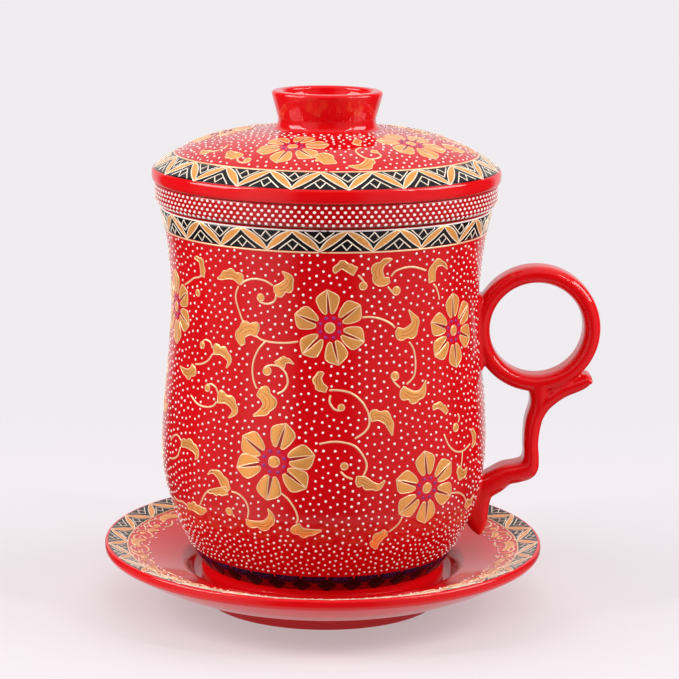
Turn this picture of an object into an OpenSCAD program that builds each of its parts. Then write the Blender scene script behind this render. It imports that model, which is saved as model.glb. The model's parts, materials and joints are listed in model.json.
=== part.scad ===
// Covered tea mug: a saucer, a mug with a ring handle, a drop-in infuser whose collar
// rests on the mug's lip, and a domed lid with a ring knob. All glazed porcelain.
// Millimetres. +Z is up, the origin is on the axis at table level, the handle is on +X.

/* [Saucer] */
// Radius of the rim
saucer_r = 60; // [56:0.5:68]
// Height of the rim above the table
saucer_h = 16.8; // [15.5:0.1:20]
// Thickness of the rolled rim
saucer_rim_t = 3.2; // [2.4:0.1:4]
// Thickness of the floor under the mug
saucer_floor_t = 3.8; // [3:0.1:4.4]
// Height of the recess inside the foot ring
saucer_foot_h = 2.4; // [1.6:0.1:3]
// Radius of the foot ring, outside
saucer_foot_r = 32.5; // [30:0.5:36]
// Width of the foot ring where it stands on the table
saucer_foot_w = 3; // [2:0.1:5]
// Width of the painted border that slopes in from the rim
border_w = 14; // [11:0.5:15]
// Fall of the border across its width
border_fall = 4; // [3:0.1:5]
// Room between the mug's foot and the edge of the well that holds it
well_gap = 4.2; // [3:0.1:5]
// Depth of the well below the plain slope around it
well_depth = 4.6; // [3:0.1:5]

/* [Mug] */
// Height from the foot to the top of the lip
mug_h = 103.2; // [96:0.2:112]
// Radius of the wall just under the lip
mouth_r = 44.5; // [43:0.1:47]
// Radius of the waist
waist_r = 41.65; // [39:0.05:42.5]
// Height of the waist above the foot
waist_h = 77.6; // [70:0.2:84]
// Radius of the belly
belly_r = 44.25; // [42.5:0.05:47]
// Height of the belly above the foot
belly_h = 37.6; // [32:0.2:44]
// Radius where the wall springs from the foot
spring_r = 33; // [31:0.1:35]
// Height where the wall springs from the foot
spring_h = 4.6; // [4:0.1:6]
// Outward lean of the wall where it springs, run per rise
spring_lean = 0.7; // [0.5:0.05:0.9]
// Outward lean of the wall at the lip, run per rise
mouth_lean = 0.26; // [0.15:0.01:0.35]
// Radius of the foot ring, outside
mug_foot_r = 33.5; // [32:0.1:34.5]
// Width of the foot ring where it stands on the saucer
mug_foot_w = 3; // [2:0.1:4]
// Height of the recess inside the foot ring
mug_foot_h = 2; // [1:0.1:3]
// Thickness of the wall
mug_wall = 3.1; // [2.6:0.1:3.6]
// Thickness of the floor
mug_floor_t = 4; // [3:0.1:5]

/* [Handle] */
// Bore of the finger ring
ring_bore_d = 25.4; // [22:0.2:27]
// Thickness of the finger ring
ring_t = 4.6; // [4:0.1:6]
// Height of the finger ring's centre above the mug's foot
ring_h = 69.8; // [64:0.2:74]
// Depth that the finger ring sinks into the mug's wall
ring_sink = 1.8; // [1:0.1:2.6]
// Depth of the handle from front to back
handle_depth = 11; // [9:0.2:13]
// Rounding of the handle's edges across the front face
handle_edge = 2; // [1:0.1:2.2]
// Rounding of the handle's edges from front to back
handle_edge_depth = 3.2; // [1.5:0.1:3.6]
// Drop of the lower arm's outer corner below the ring's centre
arm_drop = 43.6; // [41:0.2:46]
// Thickness of the arm's root on the mug's belly
arm_root_t = 4.2; // [3.6:0.1:5.6]
// Thickness of the rounded tail below the arm
tail_t = 6.6; // [6:0.1:8]
// Thickness of the stem at its thinnest
stem_t = 4.2; // [3.6:0.1:5.2]

/* [Infuser] */
// Height of the collar that shows between mug and lid
collar_h = 5.9; // [5.5:0.1:8]
// Radius of the collar
collar_r = 46; // [45:0.1:48]
// Rounding of the collar's lower edge
collar_edge = 2; // [1:0.1:2.4]
// Thickness of the collar's wall
collar_wall = 3.4; // [2.8:0.1:4]
// Thickness of the ledge that rests on the mug's lip
ledge_t = 2.6; // [2.2:0.1:3]
// Depth of the basket below the mug's lip
basket_depth = 61; // [50:0.5:68]
// Thickness of the basket's wall and floor
basket_wall = 2.6; // [2.2:0.1:3]
// Radius of the basket's lower corner
basket_corner = 7; // [5:0.5:9]
// Gap between the basket and the mug at the mouth and at the waist
basket_gap = 1.5; // [1.3:0.1:2]
// Diameter of the strainer holes
hole_d = 2.4; // [1.6:0.1:3]
// Pitch of the rings of holes in the floor
hole_pitch = 5.4; // [4.6:0.1:6]
// Rings of holes in the floor around the middle one
hole_rings = 4; // [2:1:4]
// Rows of holes in the lower wall
wall_rows = 2; // [1:1:4]
// Holes in each row of the lower wall
wall_holes = 24; // [12:1:28]

/* [Lid] */
// Radius of the lid at its widest
lid_r = 46.9; // [45.5:0.1:49]
// Height of the plain rim below the dome
lid_rim_h = 3.3; // [2.6:0.1:4.5]
// Rise of the dome above the rim
dome_rise = 11.2; // [9:0.1:13]
// Share of the rise that follows a parabola, the rest being a quartic shoulder
dome_round = 0.24; // [0.1:0.01:0.6]
// Thickness of the dome
lid_wall = 3.2; // [2.6:0.1:3.6]
// Thickness of the locating ring under the lid
locating_t = 2.6; // [2.2:0.1:3.2]
// Gap between the locating ring and the collar around it
locating_gap = 0.6; // [0.4:0.1:1]

/* [Knob] */
// Height of the knob above the dome
knob_h = 9.75; // [8:0.05:12]
// Radius of the knob's neck
knob_neck_r = 13; // [11:0.1:15]
// Radius of the knob's flared top
knob_top_r = 14.85; // [13.5:0.05:17]
// Width of the knob's rim around its dish
knob_rim_w = 3; // [2:0.1:4]
// Depth of the knob's dish
knob_dish = 5.4; // [4.6:0.1:6]

/* [Seats] */
// Gap left at each seat between two glazed pieces
seat_gap = 0.15; // [0.1:0.05:0.3]

/* [Hidden] */
$fn = 96;
glaze_red = "#cc1420";
steps = 8; // straight pieces in each blended stretch of a profile
arc_steps = 5; // straight pieces in each rounded edge

well_z = saucer_foot_h + saucer_floor_t; // the floor that the mug stands on
well_r = mug_foot_r + well_gap; // edge of the well
well_edge_z = well_z + well_depth;
border_in_r = saucer_r - border_w;
border_in_z = saucer_h - border_fall;
mug_z = well_z + seat_gap; // underside of the mug's foot
lip_z = mug_z + mug_h; // top of the mug's lip
lip_r = mug_wall / 2;
collar_z = lip_z + seat_gap; // underside of the collar
lid_z = collar_z + collar_h + seat_gap; // underside of the lid's rim
dome_z = lid_z + lid_rim_h; // foot of the dome
dome_top_z = dome_z + dome_rise;
ring_out_r = ring_bore_d / 2 + ring_t;
ring_edge = min(handle_edge, 0.46 * ring_t); // rounding across the finger ring
ring_z = mug_z + ring_h;
ring_x = mug_radius(ring_z) + ring_out_r - ring_sink;
collar_in_r = collar_r - collar_wall;
ledge_z = collar_z + ledge_t; // top of the ledge inside the collar
locating_r = collar_in_r - locating_gap;
locating_z = ledge_z + locating_gap; // lower end of the locating ring
foot_lean = 0.8; // inward lean of a foot ring over its height
foot_edge = 0.6; // bevel of the saucer's foot ring
foot_round = 1.2; // rounding of the mug's foot ring
fillet = 1; // rounding of the infuser's inner corners
lip_round = 0.6; // rounding of the collar's upper edges
hole_facets = 16;
knob_fillet = 1.4;
knob_foot_r = knob_neck_r + knob_fillet; // where the knob meets the dome
basket_top_r = mouth_r - mug_wall - basket_gap;
basket_lean = (mouth_r - waist_r) / (mug_h - lip_r - waist_h);
basket_z = lip_z - basket_depth;
basket_floor_r = basket_radius(basket_z);

// Blend from a to b over t = 0..1 with end slopes ma and mb
function hermite(t, a, b, ma, mb) =
    a * (2 * t ^ 3 - 3 * t ^ 2 + 1) + b * (3 * t ^ 2 - 2 * t ^ 3)
    + ma * (t ^ 3 - 2 * t ^ 2 + t) + mb * (t ^ 3 - t ^ 2);

// Point of a quadratic curve that leaves a and reaches c along the lines to b
function bend(t, a, b, c) = (1 - t) ^ 2 * a + 2 * t * (1 - t) * b + t ^ 2 * c;
function bend_points(a, b, c, n = steps) = [for (i = [0:n]) bend(i / n, a, b, c)];

// Points on an oval arc about [x, z], rx wide and rz high, from angle a to angle b
function oval_arc(x, z, rx, rz, a, b, n = arc_steps) =
    [for (i = [0:n]) let (u = a + (b - a) * i / n) [x + rx * cos(u), z + rz * sin(u)]];
function arc(x, z, r, a, b, n = arc_steps) = oval_arc(x, z, r, r, a, b, n);

// Smooth line through a list of points
function smooth_line(p, n) = [
    for (i = [0:len(p) - 2], j = [0:n - 1])
        let (
            a = p[max(i - 1, 0)], b = p[i], c = p[i + 1], d = p[min(i + 2, len(p) - 1)],
            t = j / n
        )
        hermite(t, b, c, (c - a) / 2, (d - b) / 2),
    p[len(p) - 1]
];

// Outer radius of the mug's wall at height z above the table
function mug_radius(z) =
    let (
        h = z - mug_z, mouth_h = mug_h - lip_r,
        low = belly_h - spring_h, middle = waist_h - belly_h, high = mouth_h - waist_h
    )
    h < belly_h
        ? hermite((h - spring_h) / low, spring_r, belly_r, spring_lean * low, 0)
        : h < waist_h
            ? hermite((h - belly_h) / middle, belly_r, waist_r, 0, 0)
            : hermite((h - waist_h) / high, waist_r, mouth_r, 0, mouth_lean * high);

// Wall points of the mug between two heights above its foot
function mug_line(from_h, to_h, inset, n = steps) = [
    for (i = [0:n]) let (z = mug_z + from_h + (to_h - from_h) * i / n)
        [mug_radius(z) - inset, z]
];

// Outer radius of the basket at height z
function basket_radius(z) = basket_top_r - basket_lean * (lip_z - z);

// Height of the lid's dome at radius r, and points along it
function dome(r) =
    let (u = r / lid_r) dome_top_z - dome_rise * (dome_round * u ^ 2 + (1 - dome_round) * u ^ 4);
function dome_line(from_r, to_r, n) =
    [for (i = [0:n]) let (r = from_r + (to_r - from_r) * sin(90 * i / n)) [r, dome(r)]];

// The saucer: a broad sloping border, a plain slope, and a well for the mug's foot
module saucer() {
    rim = saucer_rim_t / 2;
    well_round = 1.2;
    slope = border_fall / border_w;
    rise = atan(border_fall / (border_w - rim)); // steepness of the border
    under = 60; // steepness of the rim where the underside begins
    sag = 2.4; // how far the underside hangs below an even wall
    color(glaze_red) rotate_extrude() polygon(concat(
        [[0, well_z], [well_r - well_depth / 2, well_z]],
        bend_points(
            [well_r - well_round, well_edge_z - 2 * well_round],
            [well_r, well_edge_z],
            [well_r + 2 * well_round, well_edge_z + slope * well_round]
        ),
        [[border_in_r, border_in_z]],
        arc(saucer_r - rim, saucer_h - rim, rim, 90 + rise, -under, 8),
        bend_points(
            [saucer_r - rim * (1 - cos(under)), saucer_h - rim * (1 + sin(under))],
            [border_in_r + fillet, border_in_z - saucer_rim_t - sag],
            [saucer_foot_r + foot_lean, saucer_foot_h + foot_lean]
        ),
        [
            [saucer_foot_r, saucer_foot_h], [saucer_foot_r, foot_edge],
            [saucer_foot_r - foot_edge, 0], [saucer_foot_r - saucer_foot_w, 0],
            [saucer_foot_r - saucer_foot_w - foot_lean, saucer_foot_h], [0, saucer_foot_h]
        ]
    ));
}

// Outer outline of the mug's body, from its foot to its lip
function mug_outside() = concat(
    bend_points(
        [mug_foot_r - foot_lean, mug_z], [mug_foot_r, mug_z],
        [mug_foot_r, mug_z + foot_round], 3
    ),
    [[mug_foot_r, mug_z + spring_h - foot_round]],
    mug_line(spring_h, belly_h, 0, 12),
    mug_line(belly_h, waist_h, 0, 12),
    mug_line(waist_h, mug_h - lip_r, 0)
);

// The mug's body: foot ring, belly, waist and a rounded lip
module mug_body() {
    floor_z = mug_z + mug_foot_h + mug_floor_t;
    corner_h = 6; // height over which the wall bends into the floor
    corner_z = floor_z + corner_h;
    corner_r = mug_radius(corner_z) - mug_wall;
    foot_in_r = mug_foot_r - mug_foot_w;
    color(glaze_red) rotate_extrude() polygon(concat(
        mug_outside(),
        arc(mouth_r - lip_r, lip_z - lip_r, lip_r, 0, 180, 8),
        mug_line(mug_h - lip_r, waist_h, mug_wall),
        mug_line(waist_h, belly_h, mug_wall, 12),
        mug_line(belly_h, corner_z - mug_z, mug_wall),
        bend_points(
            [corner_r, corner_z],
            [corner_r - spring_lean * corner_h, floor_z],
            [corner_r - spring_lean * corner_h - corner_h, floor_z]
        ),
        [
            [0, floor_z], [0, mug_z + mug_foot_h],
            [foot_in_r - foot_lean, mug_z + mug_foot_h], [foot_in_r, mug_z]
        ]
    ));
}

// Solid swept along stations [x, z, half_width]: a rounded bar as deep as the handle
module curled_bar(stations) {
    p = smooth_line(stations, 4);
    last = len(p) - 1;
    corners = [[1, 1, 0], [-1, 1, 90], [-1, -1, 180], [1, -1, 270]];
    corner_steps = 4;
    n = 4 * (corner_steps + 1); // points around the bar
    section = function(half_w) let (e = min(handle_edge, 0.9 * half_w)) [
        for (c = corners, i = [0:corner_steps]) let (u = c[2] + 90 * i / corner_steps) [
            c[0] * (half_w - e) + e * cos(u),
            c[1] * (handle_depth / 2 - handle_edge_depth) + handle_edge_depth * sin(u)
        ]
    ];
    rings = [
        for (i = [0:last])
            let (
                way = p[min(i + 1, last)] - p[max(i - 1, 0)], length = norm([way[0], way[1]]),
                side = [-way[1], way[0]] / length
            )
            [for (q = section(p[i][2])) [p[i][0] + side[0] * q[0], q[1], p[i][1] + side[1] * q[0]]]
    ];
    polyhedron(
        points = [for (ring = rings, q = ring) q],
        faces = concat(
            [[for (k = [n - 1:-1:0]) k], [for (k = [0:n - 1]) last * n + k]],
            [
                for (i = [0:last - 1], k = [0:n - 1], half = [0, 1])
                    let (a = i * n + k, b = i * n + (k + 1) % n)
                    half == 0 ? [a, b, b + n] : [a, b + n, a + n]
            ]
        )
    );
}

// Stations of the stem, arm and tail, from inside the finger ring to the tail's tip
function stem_stations() =
    let (
        arm_z = ring_z - arm_drop,
        ring = function(x, drop, w) [ring_x + x, ring_z - drop, w],
        arm = function(x, rise, w) [ring_x + x, arm_z + rise, w],
        wall = function(drop, out, w) [mug_radius(arm_z - drop) + out, arm_z - drop, w]
    )
    [
        ring(0.8, 15, stem_t / 2 + 0.8), ring(1.1, 20.6, stem_t / 2 + 0.3),
        ring(-0.3, 26, stem_t / 2 + 0.2), ring(-0.8, 31.5, stem_t / 2),
        arm(-0.6, 7.8, stem_t / 2 + 0.1), arm(-1.4, 4.7, stem_t / 2 + 0.7),
        arm(-4.2, 3.5, stem_t / 2 + 0.7), arm(-7.4, 2.8, stem_t / 2 + 0.8),
        arm(-10.2, 0.9, stem_t / 2 + 1.1), wall(1.4, 1.2, 3.2),
        wall(5, arm_root_t - 3.2, 3.2), wall(8.6, tail_t - 4.6, 3.2),
        wall(11.4, tail_t - 3, 2.6), wall(13.2, tail_t - 1.8, 1.3),
        wall(13.9, tail_t - 1.5, 0.3)
    ];

// Stations of the spur that branches off the stem under the finger ring
function spur_stations() = [
    for (s = [
        [-0.5, 26.6, 1.9], [2.1, 21.1, 2.2], [6.7, 17.2, 2.2], [11.5, 15.2, 2],
        [14, 14, 1.7], [15, 14.2, 0.9], [15.5, 14.4, 0.2]
    ]) [ring_x + s[0], ring_z - s[1], s[2]]
];

// Stations of the thickened root where the finger ring runs into the wall
function root_stations() = [
    for (s = [[-10.2, 0.4], [-8.6, 0.9], [-4, 1.6], [4, 1.6], [8.6, 0.9], [10.2, 0.4]])
        let (z = ring_z - 0.8 - s[0]) [mug_radius(z) - 0.1, z, s[1]]
];

// The handle: a finger ring on a curled stem, cut to the mug's wall
module mug_handle() {
    bore_r = ring_bore_d / 2;
    half = handle_depth / 2;
    edge = ring_edge;
    edge_depth = handle_edge_depth;
    color(glaze_red) difference() {
        union() {
            translate([ring_x, 0, ring_z]) rotate([90, 0, 0]) rotate_extrude() polygon(concat(
                [[1, -half]],
                oval_arc(ring_out_r - edge, edge_depth - half, edge, edge_depth, -90, 0),
                oval_arc(ring_out_r - edge, half - edge_depth, edge, edge_depth, 0, 90),
                [[1, half]]
            ));
            curled_bar(stem_stations());
            curled_bar(spur_stations());
            curled_bar(root_stations());
        }
        translate([ring_x, 0, ring_z]) rotate([90, 0, 0]) rotate_extrude() polygon(concat(
            [[0, -half - 1], [bore_r + edge, -half - 1]],
            oval_arc(bore_r + edge, edge_depth - half, edge, edge_depth, -90, -180),
            oval_arc(bore_r + edge, half - edge_depth, edge, edge_depth, 180, 90),
            [[bore_r + edge, half + 1], [0, half + 1]]
        ));
        rotate_extrude() polygon(concat(
            [[0, mug_z]], mug_outside(), [[0, lip_z - lip_r]]
        ));
    }
}

// Section of the infuser: the basket, the ledge inside the collar, and the collar
module infuser_profile() {
    seat_r = basket_radius(lip_z - 2 * fillet);
    in_floor_z = basket_z + basket_wall;
    in_floor_r = basket_radius(in_floor_z) - basket_wall;
    corner = basket_corner;
    in_corner = basket_corner - basket_wall;
    ledge_bend = 4; // drop over which the ledge bends into the wall
    collar_top_z = collar_z + collar_h;
    polygon(concat(
        [[0, basket_z]],
        bend_points(
            [basket_floor_r - corner, basket_z],
            [basket_floor_r, basket_z],
            [basket_radius(basket_z + corner), basket_z + corner]
        ),
        bend_points(
            [seat_r, collar_z - 2 * fillet], [seat_r + fillet / 4, collar_z],
            [seat_r + fillet, collar_z], 4
        ),
        arc(collar_r - collar_edge, collar_z + collar_edge, collar_edge, -90, 0),
        arc(collar_r - lip_round, collar_top_z - lip_round, lip_round, 0, 90, 3),
        arc(collar_in_r + lip_round, collar_top_z - lip_round, lip_round, 90, 180, 3),
        arc(collar_in_r - fillet, ledge_z + fillet, fillet, 0, -90),
        bend_points(
            [basket_top_r, ledge_z],
            [basket_radius(ledge_z) - basket_wall, ledge_z],
            [basket_radius(ledge_z - ledge_bend) - basket_wall, ledge_z - ledge_bend]
        ),
        bend_points(
            [basket_radius(in_floor_z + in_corner) - basket_wall, in_floor_z + in_corner],
            [in_floor_r, in_floor_z],
            [in_floor_r - in_corner, in_floor_z]
        ),
        [[0, in_floor_z]]
    ));
}

// Strainer holes: rings in the floor and staggered rows in the lower wall
module strainer_holes() {
    depth = 3 * basket_wall;
    for (ring = [0:hole_rings]) let (count = max(6 * ring, 1)) for (i = [0:count - 1])
        rotate(360 * i / count) translate([ring * hole_pitch, 0, basket_z])
            cylinder(h = depth, d = hole_d, center = true, $fn = hole_facets);
    for (row = [1:wall_rows]) for (i = [0:wall_holes - 1])
        let (z = basket_z + basket_corner + hole_pitch * (row - 0.5))
        rotate(360 * (i + row / 2) / wall_holes) translate([basket_radius(z), 0, z])
            rotate([0, 90, 0]) cylinder(h = depth, d = hole_d, center = true, $fn = hole_facets);
}

// The infuser: a collar that rests on the mug's lip, and a perforated basket
module infuser() {
    color(glaze_red) difference() {
        rotate_extrude() infuser_profile();
        strainer_holes();
    }
}

// The lid: a flat-topped dome on a plain rounded rim, with a locating ring below
module lid() {
    in_r = locating_r - locating_t;
    seat_edge = 1;
    rim_round = 1.8;
    ring_round = 0.8; // rounding of the locating ring's lower edges
    roof_bend = 2; // reach of the bend from the ring into the roof
    roof_steps = 18;
    color(glaze_red) rotate_extrude() polygon(concat(
        dome_line(0, knob_foot_r, 3),
        dome_line(knob_foot_r, lid_r - 0.3, 16),
        bend_points(
            [lid_r, dome_z - rim_round / 2], [lid_r, lid_z + rim_round],
            [lid_r - seat_edge, lid_z], 4
        ),
        [[locating_r, lid_z]],
        arc(locating_r - ring_round, locating_z + ring_round, ring_round, 0, -90, 3),
        arc(in_r + ring_round, locating_z + ring_round, ring_round, -90, -180, 3),
        bend_points(
            [in_r, dome(in_r) - lid_wall - roof_bend],
            [in_r, dome(in_r) - lid_wall],
            [in_r - roof_bend, dome(in_r - roof_bend) - lid_wall], 4
        ),
        [
            for (i = [roof_steps:-1:0]) let (r = (in_r - roof_bend) * i / roof_steps)
                [r, dome(r) - lid_wall]
        ]
    ));
}

// The knob: a flared ring with a dished top, luted onto the dome
module lid_knob() {
    top_z = dome_top_z + knob_h;
    edge = 0.9;
    dish_r = knob_top_r - knob_rim_w;
    neck = [knob_neck_r, dome(knob_neck_r)];
    waist = neck + [0.1, 2 * knob_fillet]; // where the foot's curve meets the flare
    flare = (waist + [knob_top_r, top_z]) / 2; // the flare's wall bends around this point
    color(glaze_red) rotate_extrude() polygon(concat(
        dome_line(0, knob_foot_r, 3),
        bend_points([knob_foot_r, dome(knob_foot_r)], neck, waist),
        bend_points(waist, flare, [knob_top_r, top_z - edge]),
        arc(knob_top_r - edge, top_z - edge, edge, 0, 90),
        arc(dish_r + edge, top_z - edge, edge, 90, 180),
        bend_points(
            [dish_r, top_z - 1.2 * edge],
            [dish_r - edge, top_z - knob_dish],
            [dish_r / 2, top_z - knob_dish]
        ),
        [[0, top_z - knob_dish]]
    ));
}

saucer();
mug_body();
mug_handle();
infuser();
lid();
lid_knob();
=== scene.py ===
import json
import math

import bmesh
import bpy
import numpy as np
from mathutils import Matrix, Vector

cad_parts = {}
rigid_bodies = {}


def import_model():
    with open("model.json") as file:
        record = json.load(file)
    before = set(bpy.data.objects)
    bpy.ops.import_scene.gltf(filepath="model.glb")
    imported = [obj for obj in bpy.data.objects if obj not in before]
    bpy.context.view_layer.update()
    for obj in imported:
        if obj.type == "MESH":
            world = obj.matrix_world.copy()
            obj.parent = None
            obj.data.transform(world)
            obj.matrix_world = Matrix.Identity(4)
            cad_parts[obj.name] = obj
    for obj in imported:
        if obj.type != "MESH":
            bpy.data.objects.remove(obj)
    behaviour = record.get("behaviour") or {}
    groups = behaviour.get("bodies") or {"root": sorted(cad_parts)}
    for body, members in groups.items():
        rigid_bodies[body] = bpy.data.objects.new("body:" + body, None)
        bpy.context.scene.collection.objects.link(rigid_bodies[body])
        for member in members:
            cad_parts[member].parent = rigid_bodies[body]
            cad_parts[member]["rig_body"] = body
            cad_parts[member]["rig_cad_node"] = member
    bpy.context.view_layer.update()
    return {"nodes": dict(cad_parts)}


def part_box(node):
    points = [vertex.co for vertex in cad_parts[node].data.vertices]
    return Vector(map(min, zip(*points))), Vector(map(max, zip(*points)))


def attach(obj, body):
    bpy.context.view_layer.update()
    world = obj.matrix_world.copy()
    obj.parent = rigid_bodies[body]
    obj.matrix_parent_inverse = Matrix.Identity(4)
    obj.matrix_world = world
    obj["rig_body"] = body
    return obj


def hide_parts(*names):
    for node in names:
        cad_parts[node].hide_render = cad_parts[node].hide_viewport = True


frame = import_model()

# Camera
# It looks a little down on the front of the mug from about two thirds of a metre away and
# from somewhat above the lid, and leans by half a degree.

MM = 0.001  # every size below is in millimetres
camera_distance = 651.0
camera_height = 202.6
camera_look_down = math.radians(11.331)
camera_lean = math.radians(0.575)
camera_lens = 129.3
camera_shift = 0.0216

camera = bpy.data.objects.new("camera", bpy.data.cameras.new("camera"))
bpy.context.scene.collection.objects.link(camera)
camera.data.sensor_width = 36
camera.data.lens = camera_lens
camera.data.shift_x = camera_shift
camera.data.clip_start = 0.05
camera.matrix_world = (
    Matrix.Translation((0, -camera_distance * MM, camera_height * MM))
    @ Matrix.Rotation(math.pi / 2 - camera_look_down, 4, "X")
    @ Matrix.Rotation(camera_lean, 4, "Z")
)
bpy.context.scene.camera = camera


# Saucer
# A thrown porcelain dish, glazed red all over but for the ring that it stands on. The mug
# stands in the well, and the border slopes up to a thick rim with a narrow crest.

GLAZE_RED, GLAZE_RED_CLOUD = (0.71, 0.0025, 0.005), (0.6, 0.002, 0.004)
BARE_PORCELAIN, BARE_PORCELAIN_CLOUD = (0.72, 0.66, 0.58), (0.6, 0.52, 0.43)
TURNS = 288  # faces around a turned piece

saucer_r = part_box("saucer")[1].x / MM
saucer_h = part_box("saucer")[1].z / MM
saucer_rim_t = 3.2
saucer_foot_r, saucer_foot_w, saucer_foot_h = 32.5, 3.0, 2.4
foot_round, foot_slant = 0.6, 0.8
well_r, well_z, well_edge_z = 37.7, 6.2, 10.8
well_lip_w, well_lip_h, well_hollow = 2.4, 0.343, 2.3
border_in_r, border_in_z = saucer_r - 14, saucer_h - 4
rim, crest = saucer_rim_t / 2, 0.7  # roundings under the rim and along its top
rim_rise = math.atan((saucer_h - border_in_z) / (saucer_r - border_in_r - crest))
rim_under, rim_sag = math.radians(60), 3.6
rim_in_r = saucer_r - crest - crest * math.sin(rim_rise)  # where the slope runs into the crest
rim_in_z = saucer_h - crest + crest * math.cos(rim_rise)
under_r = saucer_r - rim * (1 - math.cos(rim_under))
under_z = saucer_h - rim * (1 + math.sin(rim_under))


def hermite(t, a, b, slope_a, slope_b):
    """Blend from a to b over t = 0..1 with the given end slopes."""
    return (
        a * (2 * t**3 - 3 * t**2 + 1)
        + b * (3 * t**2 - 2 * t**3)
        + slope_a * (t**3 - 2 * t**2 + t)
        + slope_b * (t**3 - t**2)
    )


def bend(a, b, c, steps=12):
    """Points of a quadratic curve from a to c that leaves and arrives towards b."""
    t = np.linspace(0, 1, steps + 1)[:, None]
    return (1 - t) ** 2 * np.array(a) + 2 * t * (1 - t) * np.array(b) + t**2 * np.array(c)


def arc(x, z, radius, start, end, steps=12):
    """Points on an arc about (x, z), angles in degrees."""
    u = np.radians(np.linspace(start, end, steps + 1))
    return np.stack([x + radius * np.cos(u), z + radius * np.sin(u)], -1)


def straight(a, b, steps=12):
    """Points of a straight line from a to b."""
    return np.linspace(a, b, steps + 1)


def mesh_object(name, points, faces, materials, face_material=None):
    """A smooth mesh from points in millimetres and a list or array of faces."""
    mesh = bpy.data.meshes.new(name)
    mesh.from_pydata((np.asarray(points, float) * MM).tolist(), [], [list(f) for f in faces])
    for m in materials:
        mesh.materials.append(m)
    if face_material is not None:
        mesh.polygons.foreach_set("material_index", np.asarray(face_material, np.int32))
    mesh.polygons.foreach_set("use_smooth", [True] * len(mesh.polygons))
    mesh.update()
    piece = bpy.data.objects.new(name, mesh)
    bpy.context.scene.collection.objects.link(piece)
    return piece


def turned(name, stretches):
    """A closed solid turned about Z. Each stretch is (points, its material), and the
    stretches follow the section once round, from the axis back to the axis."""
    materials = list(dict.fromkeys(material for _, material in stretches))
    line, kinds = [], []
    for points, material in stretches:
        for p in points:
            if not line or math.dist(p, line[-1]) > 1e-4:
                line.append((float(p[0]), float(p[1])))
                kinds.append(materials.index(material))
    r, z = np.array(line).T
    inward = np.sum(r * np.roll(z, -1) - np.roll(r, -1) * z) > 0
    angle = np.linspace(0, 2 * math.pi, TURNS, endpoint=False)
    points, rows = [], []
    for radius, height in line:
        first = len(points)
        if radius < 1e-6:
            points.append((0, 0, height))
            rows.append([first] * TURNS)
        else:
            points += [(radius * c, radius * s, height) for c, s in zip(np.cos(angle), np.sin(angle))]
            rows.append(list(range(first, first + TURNS)))
    faces, face_material = [], []
    for (low, high), kind in zip(zip(rows, rows[1:]), kinds[1:]):
        for i in range(TURNS):
            j = (i + 1) % TURNS
            corners = list(dict.fromkeys((low[i], high[i], high[j], low[j])))
            if len(corners) > 2:
                faces.append(corners[::-1] if inward else corners)
                face_material.append(kind)
    return mesh_object(name, points, faces, materials, face_material)


def nodes_of(tree):
    """A function that adds a node to the tree, sets its inputs and joins links to them."""

    def add(kind, values=None, **settings):
        node = tree.nodes.new(kind)
        for key, value in settings.items():
            setattr(node, key, value)
        for key, value in (values or {}).items():
            if isinstance(value, bpy.types.NodeSocket):
                tree.links.new(value, node.inputs[key])
            else:
                node.inputs[key].default_value = value
        return node

    return add


def glaze_group():
    """Glaze or enamel as it fires: tone that drifts, gloss that varies, and a soft ripple."""
    tree = bpy.data.node_groups.new("fired_coat", "ShaderNodeTree")
    socket = tree.interface.new_socket
    socket("Colour", in_out="INPUT", socket_type="NodeSocketColor")
    socket("Second colour", in_out="INPUT", socket_type="NodeSocketColor")
    for name, value in (
        ("Cloud size", 20.0),
        ("Cloud share", 0.5),
        ("Gloss low", 0.05),
        ("Gloss high", 0.1),
        ("Ripple size", 5.0),
        ("Ripple depth", 0.01),
    ):
        socket(name, in_out="INPUT", socket_type="NodeSocketFloat").default_value = value
    socket("Colour", in_out="OUTPUT", socket_type="NodeSocketColor")
    socket("Roughness", in_out="OUTPUT", socket_type="NodeSocketFloat")
    socket("Normal", in_out="OUTPUT", socket_type="NodeSocketVector")
    add = nodes_of(tree)
    given = add("NodeGroupInput").outputs
    place = add("ShaderNodeTexCoord").outputs["Object"]

    def noise(size, detail):
        per_metre = add("ShaderNodeMath", {0: 1 / MM, 1: size}, operation="DIVIDE").outputs[0]
        return add("ShaderNodeTexNoise", {"Vector": place, "Scale": per_metre, "Detail": detail}).outputs[0]

    def spread(value, low, high):
        """The middle of a noise's range drawn out between two values."""
        ends = {"From Min": 0.3, "From Max": 0.7, "To Min": low, "To Max": high}
        return add("ShaderNodeMapRange", {"Value": value, **ends}).outputs[0]

    cloud = spread(noise(given["Cloud size"], 4.0), 0.0, given["Cloud share"])
    colours = {0: cloud, 6: given["Colour"], 7: given["Second colour"]}
    colour = add("ShaderNodeMix", colours, data_type="RGBA").outputs[2]
    gloss = spread(noise(given["Cloud size"], 6.0), given["Gloss low"], given["Gloss high"])
    depth = add("ShaderNodeMath", {0: given["Ripple depth"], 1: MM}, operation="MULTIPLY").outputs[0]
    swell = noise(given["Ripple size"], 2.0)
    ripple = add("ShaderNodeBump", {"Height": swell, "Distance": depth}).outputs[0]
    add("NodeGroupOutput", {"Colour": colour, "Roughness": gloss, "Normal": ripple})
    return tree


fired_coat = glaze_group()


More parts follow.
